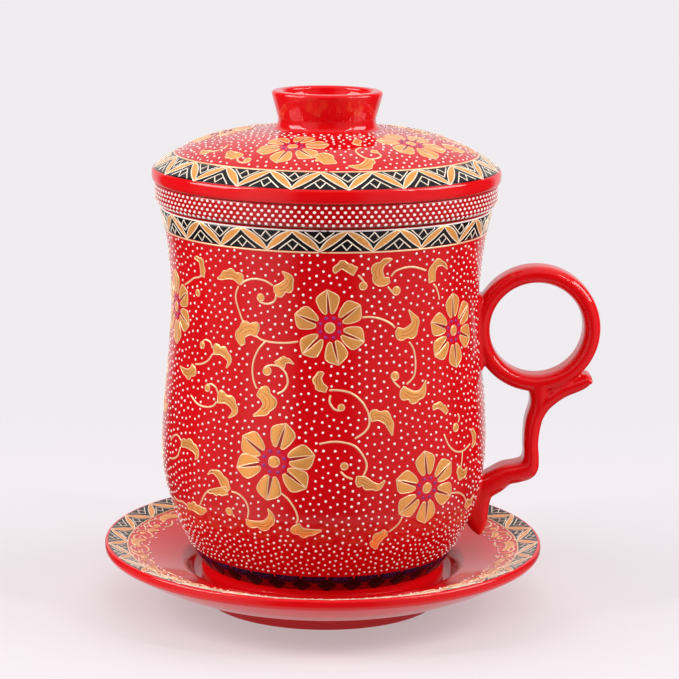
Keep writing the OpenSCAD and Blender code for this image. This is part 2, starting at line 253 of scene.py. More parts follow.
def fired(name, colour, second_colour, metallic=0.0, ior=1.5, **more):
    """A material for one glaze, enamel or bare body. More values are the group's own inputs,
    such as cloud_size for its "Cloud size"."""
    material = bpy.data.materials.new(name)
    material.use_nodes = True
    tree = material.node_tree
    tree.nodes.clear()
    add = nodes_of(tree)
    group = add("ShaderNodeGroup", node_tree=fired_coat)
    values = {"colour": (*colour, 1), "second_colour": (*second_colour, 1), **more}
    for key, value in values.items():
        group.inputs[key.replace("_", " ").capitalize()].default_value = value
    shader = add(
        "ShaderNodeBsdfPrincipled",
        {
            "Base Color": group.outputs["Colour"],
            "Roughness": group.outputs["Roughness"],
            "Normal": group.outputs["Normal"],
            "Metallic": metallic,
            "IOR": ior,
        },
    )
    add("ShaderNodeOutputMaterial", {"Surface": shader.outputs[0]})
    return material


red_glaze = fired("red_glaze", GLAZE_RED, GLAZE_RED_CLOUD, cloud_share=0.35)
bare_porcelain = fired(
    "bare_porcelain",
    BARE_PORCELAIN,
    BARE_PORCELAIN_CLOUD,
    gloss_low=0.7,
    gloss_high=0.9,
    cloud_size=3.0,
    ripple_size=0.6,
    ripple_depth=0.03,
)

well_lip = (well_r + well_lip_w, well_edge_z + well_lip_h)
well_wall_top = (well_r - well_lip_w / 2, well_edge_z - well_lip_w)
under_belly = (border_in_r + 1, border_in_z - saucer_rim_t - rim_sag)
foot_root = (saucer_foot_r + foot_slant, saucer_foot_h + foot_slant)
foot_wall_top = (saucer_foot_r, saucer_foot_h + foot_round)
foot_wall_low = (saucer_foot_r, saucer_foot_h - foot_round)
ring_out = (saucer_foot_r - foot_round, 0)
ring_in = (saucer_foot_r - saucer_foot_w, 0)
foot_hollow = (ring_in[0] - foot_slant, saucer_foot_h)
saucer = turned(
    "saucer_glaze",
    [
        (straight((0, well_z), (well_r - well_hollow, well_z), 24), red_glaze),
        (bend(well_wall_top, (well_r, well_edge_z), well_lip), red_glaze),
        (straight(well_lip, (border_in_r, border_in_z), 8), red_glaze),
        (arc(saucer_r - crest, saucer_h - crest, crest, 90 + math.degrees(rim_rise), 0), red_glaze),
        (arc(saucer_r - rim, saucer_h - rim, rim, 0, -math.degrees(rim_under)), red_glaze),
        (bend((under_r, under_z), under_belly, foot_root, 32), red_glaze),
        (bend(foot_root, foot_wall_top, foot_wall_low, 6), red_glaze),
        (bend((saucer_foot_r, foot_round), (saucer_foot_r, 0), ring_out, 6), red_glaze),
        (straight(ring_out, ring_in, 3), bare_porcelain),
        (straight(ring_in, foot_hollow, 4), red_glaze),
        (straight(foot_hollow, (0, saucer_foot_h), 12), red_glaze),
    ],
)
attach(saucer, "saucer")
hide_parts("saucer")


# Mug
# Thrown porcelain with a foot ring, a round belly and a waist under the mouth. A deeper red
# ground for the painting outside, a darker red low down that is painted shade where the
# saucer's well shades the mug, white glaze inside and a foot wiped bare.

WHITE_GLAZE, WHITE_GLAZE_CLOUD = (0.8, 0.79, 0.76), (0.74, 0.74, 0.72)
GROUND_RED, GROUND_RED_CLOUD = (0.6, 0.0018, 0.0045), (0.47, 0.001, 0.003)
# Painted shade: a darker red on the lowest wall, where the saucer's well shades the mug.
FOOT_SHADE_RED, FOOT_SHADE_RED_CLOUD = (0.24, 0.001, 0.004), (0.18, 0.001, 0.003)

mug_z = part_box("mug_body")[0].z / MM
lip_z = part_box("mug_body")[1].z / MM
mug_h = lip_z - mug_z
mouth_r, waist_r, waist_h, belly_r, belly_h = 44.5, 41.65, 77.6, 44.25, 37.6
spring_r, spring_h, spring_lean, mouth_lean = 33.0, 4.6, 0.7, 0.26
mug_foot_r, mug_foot_w, mug_foot_h = 33.5, 3.0, 2.0
mug_wall, mug_floor_t = 3.1, 4.0
lip_r = mug_wall / 2
lip_glaze_edge = 72  # degrees up the lip's rounding at which the red ends and the white begins
# Top of the painted shade low on the mug.
foot_shade_top_z = 14.3


def mug_radius(z):
    """Outer radius of the mug's wall at height z above the table."""
    h = np.asarray(z, float) - mug_z
    low, middle, high = belly_h - spring_h, waist_h - belly_h, mug_h - lip_r - waist_h
    return np.where(
        h < belly_h,
        hermite((h - spring_h) / low, spring_r, belly_r, spring_lean * low, 0),
        np.where(
            h < waist_h,
            hermite((h - belly_h) / middle, belly_r, waist_r, 0, 0),
            hermite((h - waist_h) / high, waist_r, mouth_r, 0, mouth_lean * high),
        ),
    )


def mug_line(from_z, to_z, inset, steps):
    """Points along the mug's wall, set in from its outside."""
    z = np.linspace(from_z, to_z, steps + 1)
    return np.stack([mug_radius(z) - inset, z], -1)


white_glaze = fired("white_glaze", WHITE_GLAZE, WHITE_GLAZE_CLOUD, cloud_share=0.6)
painted_red = fired("painted_red", GROUND_RED, GROUND_RED_CLOUD, cloud_share=0.35)
wine_red = fired("wine_red", FOOT_SHADE_RED, FOOT_SHADE_RED_CLOUD, cloud_share=0.35)

mug_floor_z, corner_h = mug_z + mug_foot_h + mug_floor_t, 6.0
corner_r = float(mug_radius(mug_floor_z + corner_h)) - mug_wall
floor_edge_r = corner_r - spring_lean * corner_h
foot_in_r, foot_up_z, foot_edge = mug_foot_r - mug_foot_w, mug_z + mug_foot_h, 0.8
foot_side_low, foot_side_top = (mug_foot_r, mug_z + 1.2), (mug_foot_r, mug_z + spring_h - 1.8)
spring_z = mug_z + spring_h + 0.3
spring = (float(mug_radius(spring_z)), spring_z)
mug = turned(
    "mug_glaze",
    [
        (straight((0, foot_up_z), (foot_in_r - foot_edge, foot_up_z)), red_glaze),
        (straight((foot_in_r - foot_edge, foot_up_z), (foot_in_r, mug_z), 4), red_glaze),
        (straight((foot_in_r, mug_z), (mug_foot_r - foot_edge, mug_z), 3), bare_porcelain),
        (bend((mug_foot_r - foot_edge, mug_z), (mug_foot_r, mug_z + 0.1), foot_side_low, 6), red_glaze),
        (straight(foot_side_low, foot_side_top, 3), red_glaze),
        (bend(foot_side_top, (mug_foot_r - 0.4, spring_z - 1), spring, 6), red_glaze),
        # The lowest wall takes the darker red of painted shade.
        (mug_line(spring_z, foot_shade_top_z, 0, 6), wine_red),
        (mug_line(foot_shade_top_z, lip_z - lip_r, 0, 154), painted_red),
        (arc(mouth_r - lip_r, lip_z - lip_r, lip_r, 0, lip_glaze_edge, 8), painted_red),
        (arc(mouth_r - lip_r, lip_z - lip_r, lip_r, lip_glaze_edge, 180), white_glaze),
        (mug_line(lip_z - lip_r, mug_floor_z + corner_h, mug_wall, 90), white_glaze),
        (
            bend(
                (corner_r, mug_floor_z + corner_h),
                (floor_edge_r, mug_floor_z),
                (floor_edge_r - corner_h, mug_floor_z),
                16,
            ),
            white_glaze,
        ),
        (straight((floor_edge_r - corner_h, mug_floor_z), (0, mug_floor_z), 16), white_glaze),
    ],
)
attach(mug, "mug")
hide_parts("mug_body")


# Handle
# A finger ring on a curled stem, cast apart and luted on with slip. The glaze rounds every
# edge and fills the corner where the roots meet the wall.

handle_grain = 0.32  # size of the cells that the form is blended on
root_depth, root_half_width = 1.6, 7.5
upper_root_low, upper_root_high, lower_root_high = 62.0, 90.0, 40.0
skin, tuck = 0.35, 0.22  # a root's fillet thinner than the skin is tucked under the wall's glaze

handle = frame["nodes"]["mug_handle"].copy()
handle.data = handle.data.copy()
handle.name = handle.data.name = "handle_glaze"
handle.parent = None
bpy.context.scene.collection.objects.link(handle)
handle_low_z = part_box("mug_handle")[0].z / MM


def root_plate(from_z, to_z):
    """Points and faces of a slab just inside the mug's wall, from which a root's fillet grows."""
    across = np.linspace(-root_half_width, root_half_width, 25)
    up = np.linspace(from_z, to_z, 41)
    a, z = np.meshgrid(across, up)
    outer = mug_radius(z)
    sheets = [np.stack([np.sqrt(r**2 - a**2), a, z], -1).reshape(-1, 3) for r in (outer, outer - root_depth)]
    wide, n = len(across), a.size
    grid = [
        (i * wide + j, i * wide + j + 1, (i + 1) * wide + j + 1, (i + 1) * wide + j)
        for i in range(len(up) - 1)
        for j in range(wide - 1)
    ]
    rim_loop = (
        [j for j in range(wide)]
        + [i * wide + wide - 1 for i in range(1, len(up))]
        + [(len(up) - 1) * wide + j for j in range(wide - 2, -1, -1)]
        + [i * wide for i in range(len(up) - 2, 0, -1)]
    )
    sides = [(i + n, j + n, j, i) for i, j in zip(rim_loop, rim_loop[1:] + rim_loop[:1])]
    return np.concatenate(sheets), grid + [tuple(k + n for k in f[::-1]) for f in grid] + sides


def joined(pieces):
    """One object from several, under the name of the first."""
    bpy.ops.object.select_all(action="DESELECT")
    for piece in pieces:
        piece.select_set(True)
    bpy.context.view_layer.objects.active = pieces[0]
    bpy.ops.object.join()
    return pieces[0]


roots = ((upper_root_low, upper_root_high), (handle_low_z - 1, lower_root_high))
joined([handle] + [mesh_object("root_plate", *root_plate(*root), []) for root in roots])
blend = handle.modifiers.new("blend", "REMESH")
blend.mode, blend.voxel_size, blend.use_smooth_shade = "VOXEL", handle_grain * MM, True
soften = handle.modifiers.new("soften", "SMOOTH")
soften.factor, soften.iterations = 0.5, 14
evaluated = handle.evaluated_get(bpy.context.evaluated_depsgraph_get())
smoothed = bpy.data.meshes.new_from_object(evaluated)
handle.modifiers.clear()
handle.data = smoothed
smoothed.name = "handle_glaze"
co = np.empty(len(smoothed.vertices) * 3)
smoothed.vertices.foreach_get("co", co)
co = co.reshape(-1, 3) / MM
from_axis = np.hypot(co[:, 0], co[:, 1])
proud = from_axis - mug_radius(co[:, 2])
sink = tuck * np.clip((skin - proud) / skin, 0, 1)
co[:, :2] *= ((from_axis - sink) / from_axis)[:, None]
smoothed.vertices.foreach_set("co", (co * MM).ravel())
smoothed.materials.clear()
smoothed.materials.append(red_glaze)
smoothed.update()
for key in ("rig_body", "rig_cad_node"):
    if key in handle:
        del handle[key]
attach(handle, "mug")
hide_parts("mug_handle")


# Infuser
# A thrown basket, pierced while leather-hard. Its collar rests on the mug's lip and is glazed
# red outside, in a darker red that is painted shade under the lid; the seat for the lid and
# the basket are white.

# Painted shade: a darker copy of the red ground for the collar, which sits between the lid and the mug.
COLLAR_SHADE_RED, COLLAR_SHADE_RED_CLOUD = (0.47, 0.0016, 0.004), (0.38, 0.001, 0.003)

basket_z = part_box("infuser")[0].z / MM
collar_top_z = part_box("infuser")[1].z / MM
collar_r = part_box("infuser")[1].x / MM
collar_z, ledge_z = collar_top_z - 5.9, collar_top_z - 3.3
collar_in_r, collar_edge = collar_r - 3.4, 2.0
fillet, lip_round, ledge_slope = 1.0, 0.6, 4.0
basket_top_r, basket_wall, basket_corner = 39.9, 2.6, 7.0
basket_lean = (mouth_r - waist_r) / (mug_h - lip_r - waist_h)
hole_d, hole_pitch, hole_rings, wall_rows, wall_holes = 2.4, 5.4, 4, 2, 24
PIN_SIDES = 16

collar_red = fired("collar_red", COLLAR_SHADE_RED, COLLAR_SHADE_RED_CLOUD, cloud_share=0.35)


def basket_point(z, inset=0.0):
    """The point of the basket's wall at height z, set in from its outside."""
    return basket_top_r - basket_lean * (lip_z - z) - inset, z


def ring_tree():
    """Geometry Nodes: the shape repeated around the axis."""
    tree = bpy.data.node_groups.new("ring_of", "GeometryNodeTree")
    tree.is_modifier = True
    socket = tree.interface.new_socket
    socket("Geometry", in_out="INPUT", socket_type="NodeSocketGeometry")
    socket("Count", in_out="INPUT", socket_type="NodeSocketInt")
    socket("First angle", in_out="INPUT", socket_type="NodeSocketFloat")
    socket("Material", in_out="INPUT", socket_type="NodeSocketMaterial")
    socket("Geometry", in_out="OUTPUT", socket_type="NodeSocketGeometry")
    add = nodes_of(tree)
    given = add("NodeGroupInput").outputs
    points = add("GeometryNodePoints", {"Count": given["Count"]}).outputs[0]
    index = add("GeometryNodeInputIndex").outputs[0]
    step = add("ShaderNodeMath", {0: 2 * math.pi, 1: given["Count"]}, operation="DIVIDE").outputs[0]
    steps = {0: index, 1: step, 2: given["First angle"]}
    angle = add("ShaderNodeMath", steps, operation="MULTIPLY_ADD").outputs[0]
    turn = add("ShaderNodeCombineXYZ", {"Z": angle}).outputs[0]
    placed = {"Points": points, "Instance": given["Geometry"], "Rotation": turn}
    copies = add("GeometryNodeInstanceOnPoints", placed).outputs[0]
    real = add("GeometryNodeRealizeInstances", {"Geometry": copies}).outputs[0]
    done = add("GeometryNodeSetMaterial", {"Geometry": real, "Material": given["Material"]}).outputs[0]
    add("NodeGroupOutput", {"Geometry": done})
    return tree


def made_by(piece, tree, values):
    """The piece with the plain mesh that a Geometry Nodes tree makes of it."""
    modifier = piece.modifiers.new(tree.name, "NODES")
    modifier.node_group = tree
    for item in tree.interface.items_tree:
        if item.item_type == "SOCKET" and item.name in values:
            modifier[item.identifier] = values[item.name]
    made = bpy.data.meshes.new_from_object(piece.evaluated_get(bpy.context.evaluated_depsgraph_get()))
    piece.modifiers.clear()
    made.name = piece.name
    piece.data = made
    return piece


def pin(x, z, way):
    """A cutter for one strainer hole, upright ("up") or pointing away from the axis ("out")."""
    n = PIN_SIDES
    t = np.linspace(0, 2 * math.pi, n, endpoint=False)
    a, b = hole_d / 2 * np.cos(t), hole_d / 2 * np.sin(t)
    ends = []
    for end in (-1.5 * basket_wall, 1.5 * basket_wall):
        along = np.full(n, end)
        ends.append(np.stack([x + a, b, z + along] if way == "up" else [x + along, a, z + b], -1))
    sides = [(i, (i + 1) % n, n + (i + 1) % n, n + i) for i in range(n)]
    caps = [tuple(range(n))[::-1], tuple(range(n, 2 * n))]
    return mesh_object("pin", np.concatenate(ends), caps + sides, [white_glaze])


ring_of = ring_tree()
pins = []
for ring in range(hole_rings + 1):
    floor_pin = pin(ring * hole_pitch, basket_z + basket_wall / 2, "up")
    pins.append(made_by(floor_pin, ring_of, {"Count": max(6 * ring, 1), "Material": white_glaze}))
for row in range(1, wall_rows + 1):
    hole_z = basket_z + basket_corner + hole_pitch * (row - 0.5)
    wall_pin = pin(*basket_point(hole_z, basket_wall / 2), "out")
    holes = {"Count": wall_holes, "First angle": math.pi * row / wall_holes, "Material": white_glaze}
    pins.append(made_by(wall_pin, ring_of, holes))
cutters = joined(pins)

seat_r = basket_point(lip_z - 2 * fillet)[0]
seat_low, seat_in = (seat_r, collar_z - 2 * fillet), (seat_r + fillet, collar_z)
floor_corner, corner_top = basket_point(basket_z), basket_point(basket_z + basket_corner)
floor_edge = (floor_corner[0] - basket_corner, basket_z)
in_floor_z, in_corner = basket_z + basket_wall, basket_corner - basket_wall
ledge_edge, ledge_low = basket_point(ledge_z, basket_wall), basket_point(ledge_z - ledge_slope, basket_wall)
in_floor_corner = basket_point(in_floor_z, basket_wall)
in_corner_top = basket_point(in_floor_z + in_corner, basket_wall)
in_floor_edge = (in_floor_corner[0] - in_corner, in_floor_z)
infuser = turned(
    "infuser_glaze",
    [
        (straight((0, basket_z), floor_edge, 14), white_glaze),
        (bend(floor_edge, floor_corner, corner_top), white_glaze),
        (straight(corner_top, seat_low, 30), white_glaze),
        (bend(seat_low, (seat_r + 0.2, collar_z), seat_in, 6), white_glaze),
        (straight(seat_in, (collar_r - collar_edge, collar_z), 3), bare_porcelain),
        (arc(collar_r - collar_edge, collar_z + collar_edge, collar_edge, -90, 0, 10), collar_red),
        (arc(collar_r - lip_round, collar_top_z - lip_round, lip_round, 0, 90, 8), collar_red),
        (arc(collar_in_r + lip_round, collar_top_z - lip_round, lip_round, 90, 180, 8), white_glaze),
        (arc(collar_in_r - fillet, ledge_z + fillet, fillet, 0, -90, 8), white_glaze),
        (bend((basket_top_r, ledge_z), ledge_edge, ledge_low), white_glaze),
        (straight(ledge_low, in_corner_top, 30), white_glaze),
        (bend(in_corner_top, in_floor_corner, in_floor_edge), white_glaze),
        (straight(in_floor_edge, (0, in_floor_z), 14), white_glaze),
    ],
)
cut = infuser.modifiers.new("holes", "BOOLEAN")
cut.operation, cut.solver, cut.object = "DIFFERENCE", "EXACT", cutters
pierced = bpy.data.meshes.new_from_object(infuser.evaluated_get(bpy.context.evaluated_depsgraph_get()))
infuser.modifiers.clear()
infuser.data = pierced
pierced.name = "infuser_glaze"
pierced.set_sharp_from_angle(angle=math.radians(40))
bpy.data.objects.remove(cutters)
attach(infuser, "infuser")
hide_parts("infuser")


# Lid
# A domed cover, turned thin, with a locating ring underneath that drops inside the collar.
# Red above, white below, and the seat on the collar wiped bare.

seat_gap = 0.15  # the lid stands this far off the collar, as its solid does
lid_z = collar_top_z + seat_gap
lid_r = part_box("lid")[1].x / MM
dome_z, dome_rise, dome_round = lid_z + 3.3, 11.2, 0.24
dome_top_z = dome_z + dome_rise
lid_wall, rim_round, seat_edge, eave = 3.2, 1.8, 1.0, 0.3
locating_r, locating_t, locating_z, locating_edge = collar_in_r - 0.6, 2.6, ledge_z + 0.6, 0.8
locating_in_r = locating_r - locating_t


def dome(r):
    """Height of the lid's dome at radius r."""
    u = np.asarray(r, float) / lid_r
    return dome_top_z - dome_rise * (dome_round * u**2 + (1 - dome_round) * u**4)


def dome_line(from_r, to_r, drop, steps):
    """Points along the dome, a drop below its top side."""
    r = np.linspace(from_r, to_r, steps + 1)
    return np.stack([r, dome(r) - drop], -1)


def dome_point(r, drop=0.0):
    """The point of the dome at radius r, a drop below its top side."""
    return r, float(dome(r)) - drop


locating_low_z = locating_z + locating_edge
lid = turned(
    "lid_glaze",
    [
        (dome_line(0, lid_r - eave, 0, 110), painted_red),
        (bend(dome_point(lid_r - eave), (lid_r, dome_z - 0.2), (lid_r, dome_z - 0.9), 4), red_glaze),
        (bend((lid_r, lid_z + rim_round), (lid_r, lid_z + 0.2), (lid_r - seat_edge, lid_z), 8), red_glaze),
        (straight((lid_r - seat_edge, lid_z), (locating_r, lid_z), 4), bare_porcelain),
        (straight((locating_r, lid_z), (locating_r, locating_low_z), 3), white_glaze),
        (arc(locating_r - locating_edge, locating_low_z, locating_edge, 0, -90, 6), white_glaze),
        (arc(locating_in_r + locating_edge, locating_low_z, locating_edge, -90, -180, 6), white_glaze),
        (
            bend(
                dome_point(locating_in_r, lid_wall + 2),
                dome_point(locating_in_r, lid_wall),
                dome_point(locating_in_r - 2, lid_wall),
                8,
            ),
            white_glaze,
        ),
        (dome_line(locating_in_r - 2, 0, lid_wall, 48), white_glaze),
    ],
)
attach(lid, "lid")
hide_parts("lid")


# Knob
# A flared ring with a dished top, turned apart and luted on to the dome; glazed all over.

knob_top_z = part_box("lid_knob")[1].z / MM
knob_neck_r, knob_rim_w, knob_dish, knob_edge, knob_fillet = 13.0, 3.0, 5.4, 0.9, 1.4
knob_top_r = 14.85
knob_foot_r = knob_neck_r + knob_fillet
dish_r, dish_z, edge_z = knob_top_r - knob_rim_w, knob_top_z - knob_dish, knob_top_z - knob_edge
neck_z = float(dome(knob_neck_r))
neck_top = (knob_neck_r + 0.1, neck_z + 2 * knob_fillet)
knob_waist = ((knob_neck_r + knob_top_r) / 2 + 0.2, (dome_top_z + knob_top_z) / 2 + 1)
knob = turned(
    "knob_glaze",
    [
        (dome_line(0, knob_foot_r, 0.6, 8), red_glaze),
        (bend(dome_point(knob_foot_r + 0.4, 0.05), (knob_neck_r, neck_z + 0.1), neck_top, 16), red_glaze),
        (bend(neck_top, knob_waist, (knob_top_r, edge_z), 20), red_glaze),
        (arc(knob_top_r - knob_edge, edge_z, knob_edge, 0, 90, 10), red_glaze),
        (arc(dish_r + knob_edge, edge_z, knob_edge, 90, 180, 10), red_glaze),
        (bend((dish_r, edge_z - 0.1), (dish_r - 0.6, dish_z), (dish_r / 2, dish_z), 20), red_glaze),
        (straight((dish_r / 2, dish_z), (0, dish_z), 6), red_glaze),
    ],
)
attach(knob, "lid")
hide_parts("lid_knob")


# Borders
# Enamel laid on the glaze stroke by stroke and fired again, about a tenth of a millimetre
# proud. Arches of gold leaves on black run under the mug's lip, round the lid and round the
# saucer, and blue fans over black lozenges run round the mug's foot.

PAINT_R = 43.0  # distances across the mug's wall are measured at this radius
ENAMEL_SINK = 0.05  # depth of a stroke's underside below the glaze

# Sections of a stroke: (share of its width, share of its height), with its underside at -1.
CUSHION = ((0, -1), (0.06, 0.6), (0.2, 1), (0.5, 1), (0.8, 1), (0.94, 0.6), (1, -1))
ROUND = ((0, -1), (0.2, 0.75), (0.5, 1), (0.8, 0.75), (1, -1))
LEVEL = ((0, -1), *((s, 1) for s in np.linspace(0.02, 0.98, 15)), (1, -1))
FINE_LINE, EDGE_LINE, VINE_LINE, RIM_LINE = 0.4, 0.34, 0.6, 0.5  # widths
FILL_H, LINE_H, FLAT_H = 0.09, 0.13, 0.05  # heights

BLACK, BLACK_CLOUD = (0.006, 0.004, 0.005), (0.016, 0.011, 0.012)
GOLD, GOLD_CLOUD = (1.0, 0.41, 0.09), (1.0, 0.49, 0.15)
CREAM, CREAM_CLOUD = (1.0, 0.64, 0.36), (1.0, 0.72, 0.46)
PALE, PALE_CLOUD = (0.9, 0.77, 0.6), (0.93, 0.83, 0.7)
BLUE, BLUE_CLOUD = (0.004, 0.005, 0.028), (0.006, 0.01, 0.05)
RIB_BLUE, RIB_BLUE_CLOUD = (0.06, 0.05, 0.28), (0.13, 0.08, 0.36)

black_enamel = fired("black_enamel", BLACK, BLACK_CLOUD, ior=1.42, cloud_size=6.0)
gold_enamel = fired("gold_enamel", GOLD, GOLD_CLOUD, metallic=0.45, cloud_size=2.5, gloss_high=0.3)
cream_enamel = fired("cream_enamel", CREAM, CREAM_CLOUD, metallic=0.3, cloud_size=3.0, gloss_high=0.25)
pale_enamel = fired("pale_enamel", PALE, PALE_CLOUD, metallic=0.1, cloud_size=3.0)
blue_enamel = fired("blue_enamel", BLUE, BLUE_CLOUD, cloud_size=2.0)
rib_enamel = fired("rib_enamel", RIB_BLUE, RIB_BLUE_CLOUD, cloud_size=2.0)


def upright_wall(radius_of):
    """Places (across, up, lift) on a standing wall whose radius follows the height."""

    def place(across, up, lift):
        slope = (radius_of(up + 0.01) - radius_of(up - 0.01)) / 0.02
        length = np.sqrt(1 + slope**2)
        r, z, angle = radius_of(up) + lift / length, up - lift * slope / length, across / PAINT_R
        return np.stack([r * np.sin(angle), -r * np.cos(angle), z], -1)

    return place


def level_wall(height_of):
    """Places (x, y, lift), as seen from above, on a wall whose height follows the radius."""

    def place(x, y, lift):
        r = np.hypot(x, y)
        slope = (height_of(r + 0.01) - height_of(r - 0.01)) / 0.02
        length = np.sqrt(1 + slope**2)
        share = 1 - lift * slope / length / r
        return np.stack([x * share, y * share, height_of(r) + lift / length], -1)

    return place


def through(points, step=0.5):
    """A smooth line through points of any number of columns, in steps of about a size."""
    p = np.array(points, float)
    line = [p[:1]]
    for i in range(len(p) - 1):
        before, a, b, after = p[max(i - 1, 0)], p[i], p[i + 1], p[min(i + 2, len(p) - 1)]
        n = max(2, round(math.dist(a[:2], b[:2]) / step))
        t = (np.arange(n) + 1)[:, None] / n
        line.append(hermite(t, a, b, (b - before) / 2, (after - a) / 2))
    return np.concatenate(line)


def evenly(line, count):
    """The same line with its points spread evenly."""
    length = np.concatenate([[0], np.cumsum(np.hypot(*np.diff(line, axis=0).T))])
    at = np.linspace(0, length[-1], count)
    return np.stack([np.interp(at, length, column) for column in line.T], -1)


def beside(line, half_width, closed=False):
    """The left and right edges of a stroke that follows a line."""
    ahead, behind = np.roll(line, -1, 0), np.roll(line, 1, 0)
    if not closed:
        ahead[-1], behind[0] = line[-1], line[0]
    way = ahead - behind
    side = np.stack([-way[:, 1], way[:, 0]], -1) / np.hypot(*way.T)[:, None]
    offset = side * np.reshape(half_width, (-1, 1))
    return line + offset, line - offset


class Coat:
    """Strokes of one enamel on one wall. A chart turns a border's own places into the wall's."""

    def __init__(self, wall, chart=None):
        self.wall, self.chart, self.points, self.faces, self.count = wall, chart, [], [], 0

    def fill(self, left, right, height=FILL_H, section=CUSHION, closed=False):
        """A raised patch between two edges that run the same way."""
        share, lift = np.array(section).T
        across = left[:, None] + (right - left)[:, None] * share[None, :, None]
        lift = np.tile(np.where(lift < 0, -ENAMEL_SINK, lift * height), (len(left), 1))
        if not closed:
            lift[[0, -1]] = -ENAMEL_SINK
            lift[[0, -1], 1:-1] = -ENAMEL_SINK / 2
        x, y = across[..., 0], across[..., 1]
        if self.chart:
            x, y = self.chart(x, y)
        made = self.wall(x, y, lift)
        rows, columns = lift.shape
        first = self.count
        self.points.append(made.reshape(-1, 3))
        self.count += rows * columns
        faces = []
        for i in range(rows if closed else rows - 1):
            a, b = first + i * columns, first + (i + 1) % rows * columns
            faces += [(a + k, b + k, b + k + 1, a + k + 1) for k in range(columns - 1)]
            faces.append((a, a + columns - 1, b + columns - 1, b))
        if not closed:
            faces.append(tuple(first + k for k in range(columns)))
            faces.append(tuple(first + rows * columns - 1 - k for k in range(columns)))
        i = rows // 2
        along = made[(i + 1) % rows, columns // 2] - made[i, columns // 2]
        normal = np.cross(along, made[i, -1] - made[i, 0])
        outward = made[i].mean(0) - (made[i, 0] + made[i, -1]) / 2
        self.faces += faces if np.dot(normal, outward) > 0 else [f[::-1] for f in faces]

    def line(self, points, width, height=LINE_H, closed=False):
        """A rounded stroke along a line."""
        self.fill(*beside(np.asarray(points, float), width / 2, closed), height, ROUND, closed)

    def disc(self, centre, radius, height=LINE_H):
        """A raised round dot."""
        t = np.linspace(0, math.pi, 9)
        x, y = centre[0] - radius * np.cos(t), radius * np.sin(t)
        self.fill(np.stack([x, centre[1] + y], -1), np.stack([x, centre[1] - y], -1), height)

    def circle(self, centre, radius, width, height=LINE_H):
        """A rounded stroke once round a middle."""
        t = np.linspace(0, 2 * math.pi, 20, endpoint=False)
        x, y = centre[0] + radius * np.cos(t), centre[1] + radius * np.sin(t)
        self.line(np.stack([x, y], -1), width, height, closed=True)

    def mesh(self, name, material):
        """One mesh of all strokes, each closed and with the points of its sharp tips merged."""
        made = mesh_object(name, np.concatenate(self.points), self.faces, [material])
        form = bmesh.new()
        form.from_mesh(made.data)
        bmesh.ops.remove_doubles(form, verts=form.verts, dist=0.003 * MM)
        form.to_mesh(made.data)
        form.free()
        return made


def on_body(piece, body):
    """The finished piece, riding on its body."""
    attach(piece, body)
    return piece


def once_round(pitch_r, at):
    """A line at one height of a border, once round a wall of the given radius."""
    p = np.linspace(0, 2 * math.pi * pitch_r, TURNS, endpoint=False)
    return np.stack([p, np.full(TURNS, at)], -1)


LEAF_HALF, LEAF_BOW = 0.88, 0.35  # half a leaf's width, and how far its spine bows out


def arch_border(name, body, wall, chart, pitch_r, height, line_at, arches, first_angle):
    """Gold arches on black, with nested chevrons under and between them. The border's own
    places are (distance along, distance up)."""
    half = math.pi * pitch_r / arches
    black, gold, pale, edge = (Coat(wall, chart) for _ in range(4))
    black.fill(once_round(pitch_r, height), once_round(pitch_r, 0), FLAT_H, LEVEL, closed=True)
    edge.line(once_round(pitch_r, line_at), RIM_LINE, closed=True)
    t = np.linspace(0, 1, 17)
    bulge = np.sin(math.pi * t)
    for side in (-1, 1):
        chord = straight((-side * 0.2, -0.05), (side * (half + 0.3), height), 16)
        spine = beside(chord, side * LEAF_BOW * bulge)[0]
        left, right = beside(spine, LEAF_HALF * bulge**0.8)
        gold.fill(left, right)
        for rim_of_leaf in (left, right):
            pale.line(rim_of_leaf, FINE_LINE)
    peak, arm, meet = 0.58 * height, 0.6 * half, 0.21 * half
    shoulder = peak * (1 - meet / arm)
    for middle, base, way in ((half, 0, 1), (0, height, -1)):
        for reach, foot, top in ((arm, 0, peak), (meet, shoulder, 0.07 * height)):
            ends = [(middle + side * reach, base + way * foot) for side in (-1, 1)]
            tip = (middle, base + way * top)
            chevron = np.concatenate([straight(ends[0], tip, 6), straight(tip, ends[1], 6)[1:]])
            pale.line(chevron, FINE_LINE)
    ring = {"Count": arches, "First angle": math.radians(first_angle)}
    gold = made_by(gold.mesh(name + "_gold", gold_enamel), ring_of, {**ring, "Material": gold_enamel})
    pale = made_by(pale.mesh(name + "_cream", pale_enamel), ring_of, {**ring, "Material": pale_enamel})
    on_body(black.mesh(name + "_black", black_enamel), body)
    on_body(gold, body)
    on_body(joined([pale, edge.mesh("edge", cream_enamel)]), body)


def mug_wall_radius(z):
    """Outer radius of the mug, with its rounded lip."""
    over = np.clip(z - (lip_z - lip_r), 0, 0.99 * lip_r)
    return np.where(over > 0, mouth_r - lip_r + np.sqrt(lip_r**2 - over**2), mug_radius(z))


def saucer_height(r):
    """Height of the saucer's sloping border, with its rounded crest."""
    over = np.clip(r - (saucer_r - crest), -crest, 0.99 * crest)
    rolled = saucer_h - crest + np.sqrt(crest**2 - over**2)
    plain = border_in_z + (rim_in_z - border_in_z) * (r - border_in_r) / (rim_in_r - border_in_r)
    return np.where(r > rim_in_r, rolled, plain)


def level_chart(pitch_r, outer_r):
    """Border places on a level wall, measured inwards from the outer edge."""

    def chart(p, q):
        angle, r = p / pitch_r, outer_r - q
        return r * np.sin(angle), -r * np.cos(angle)

    return chart


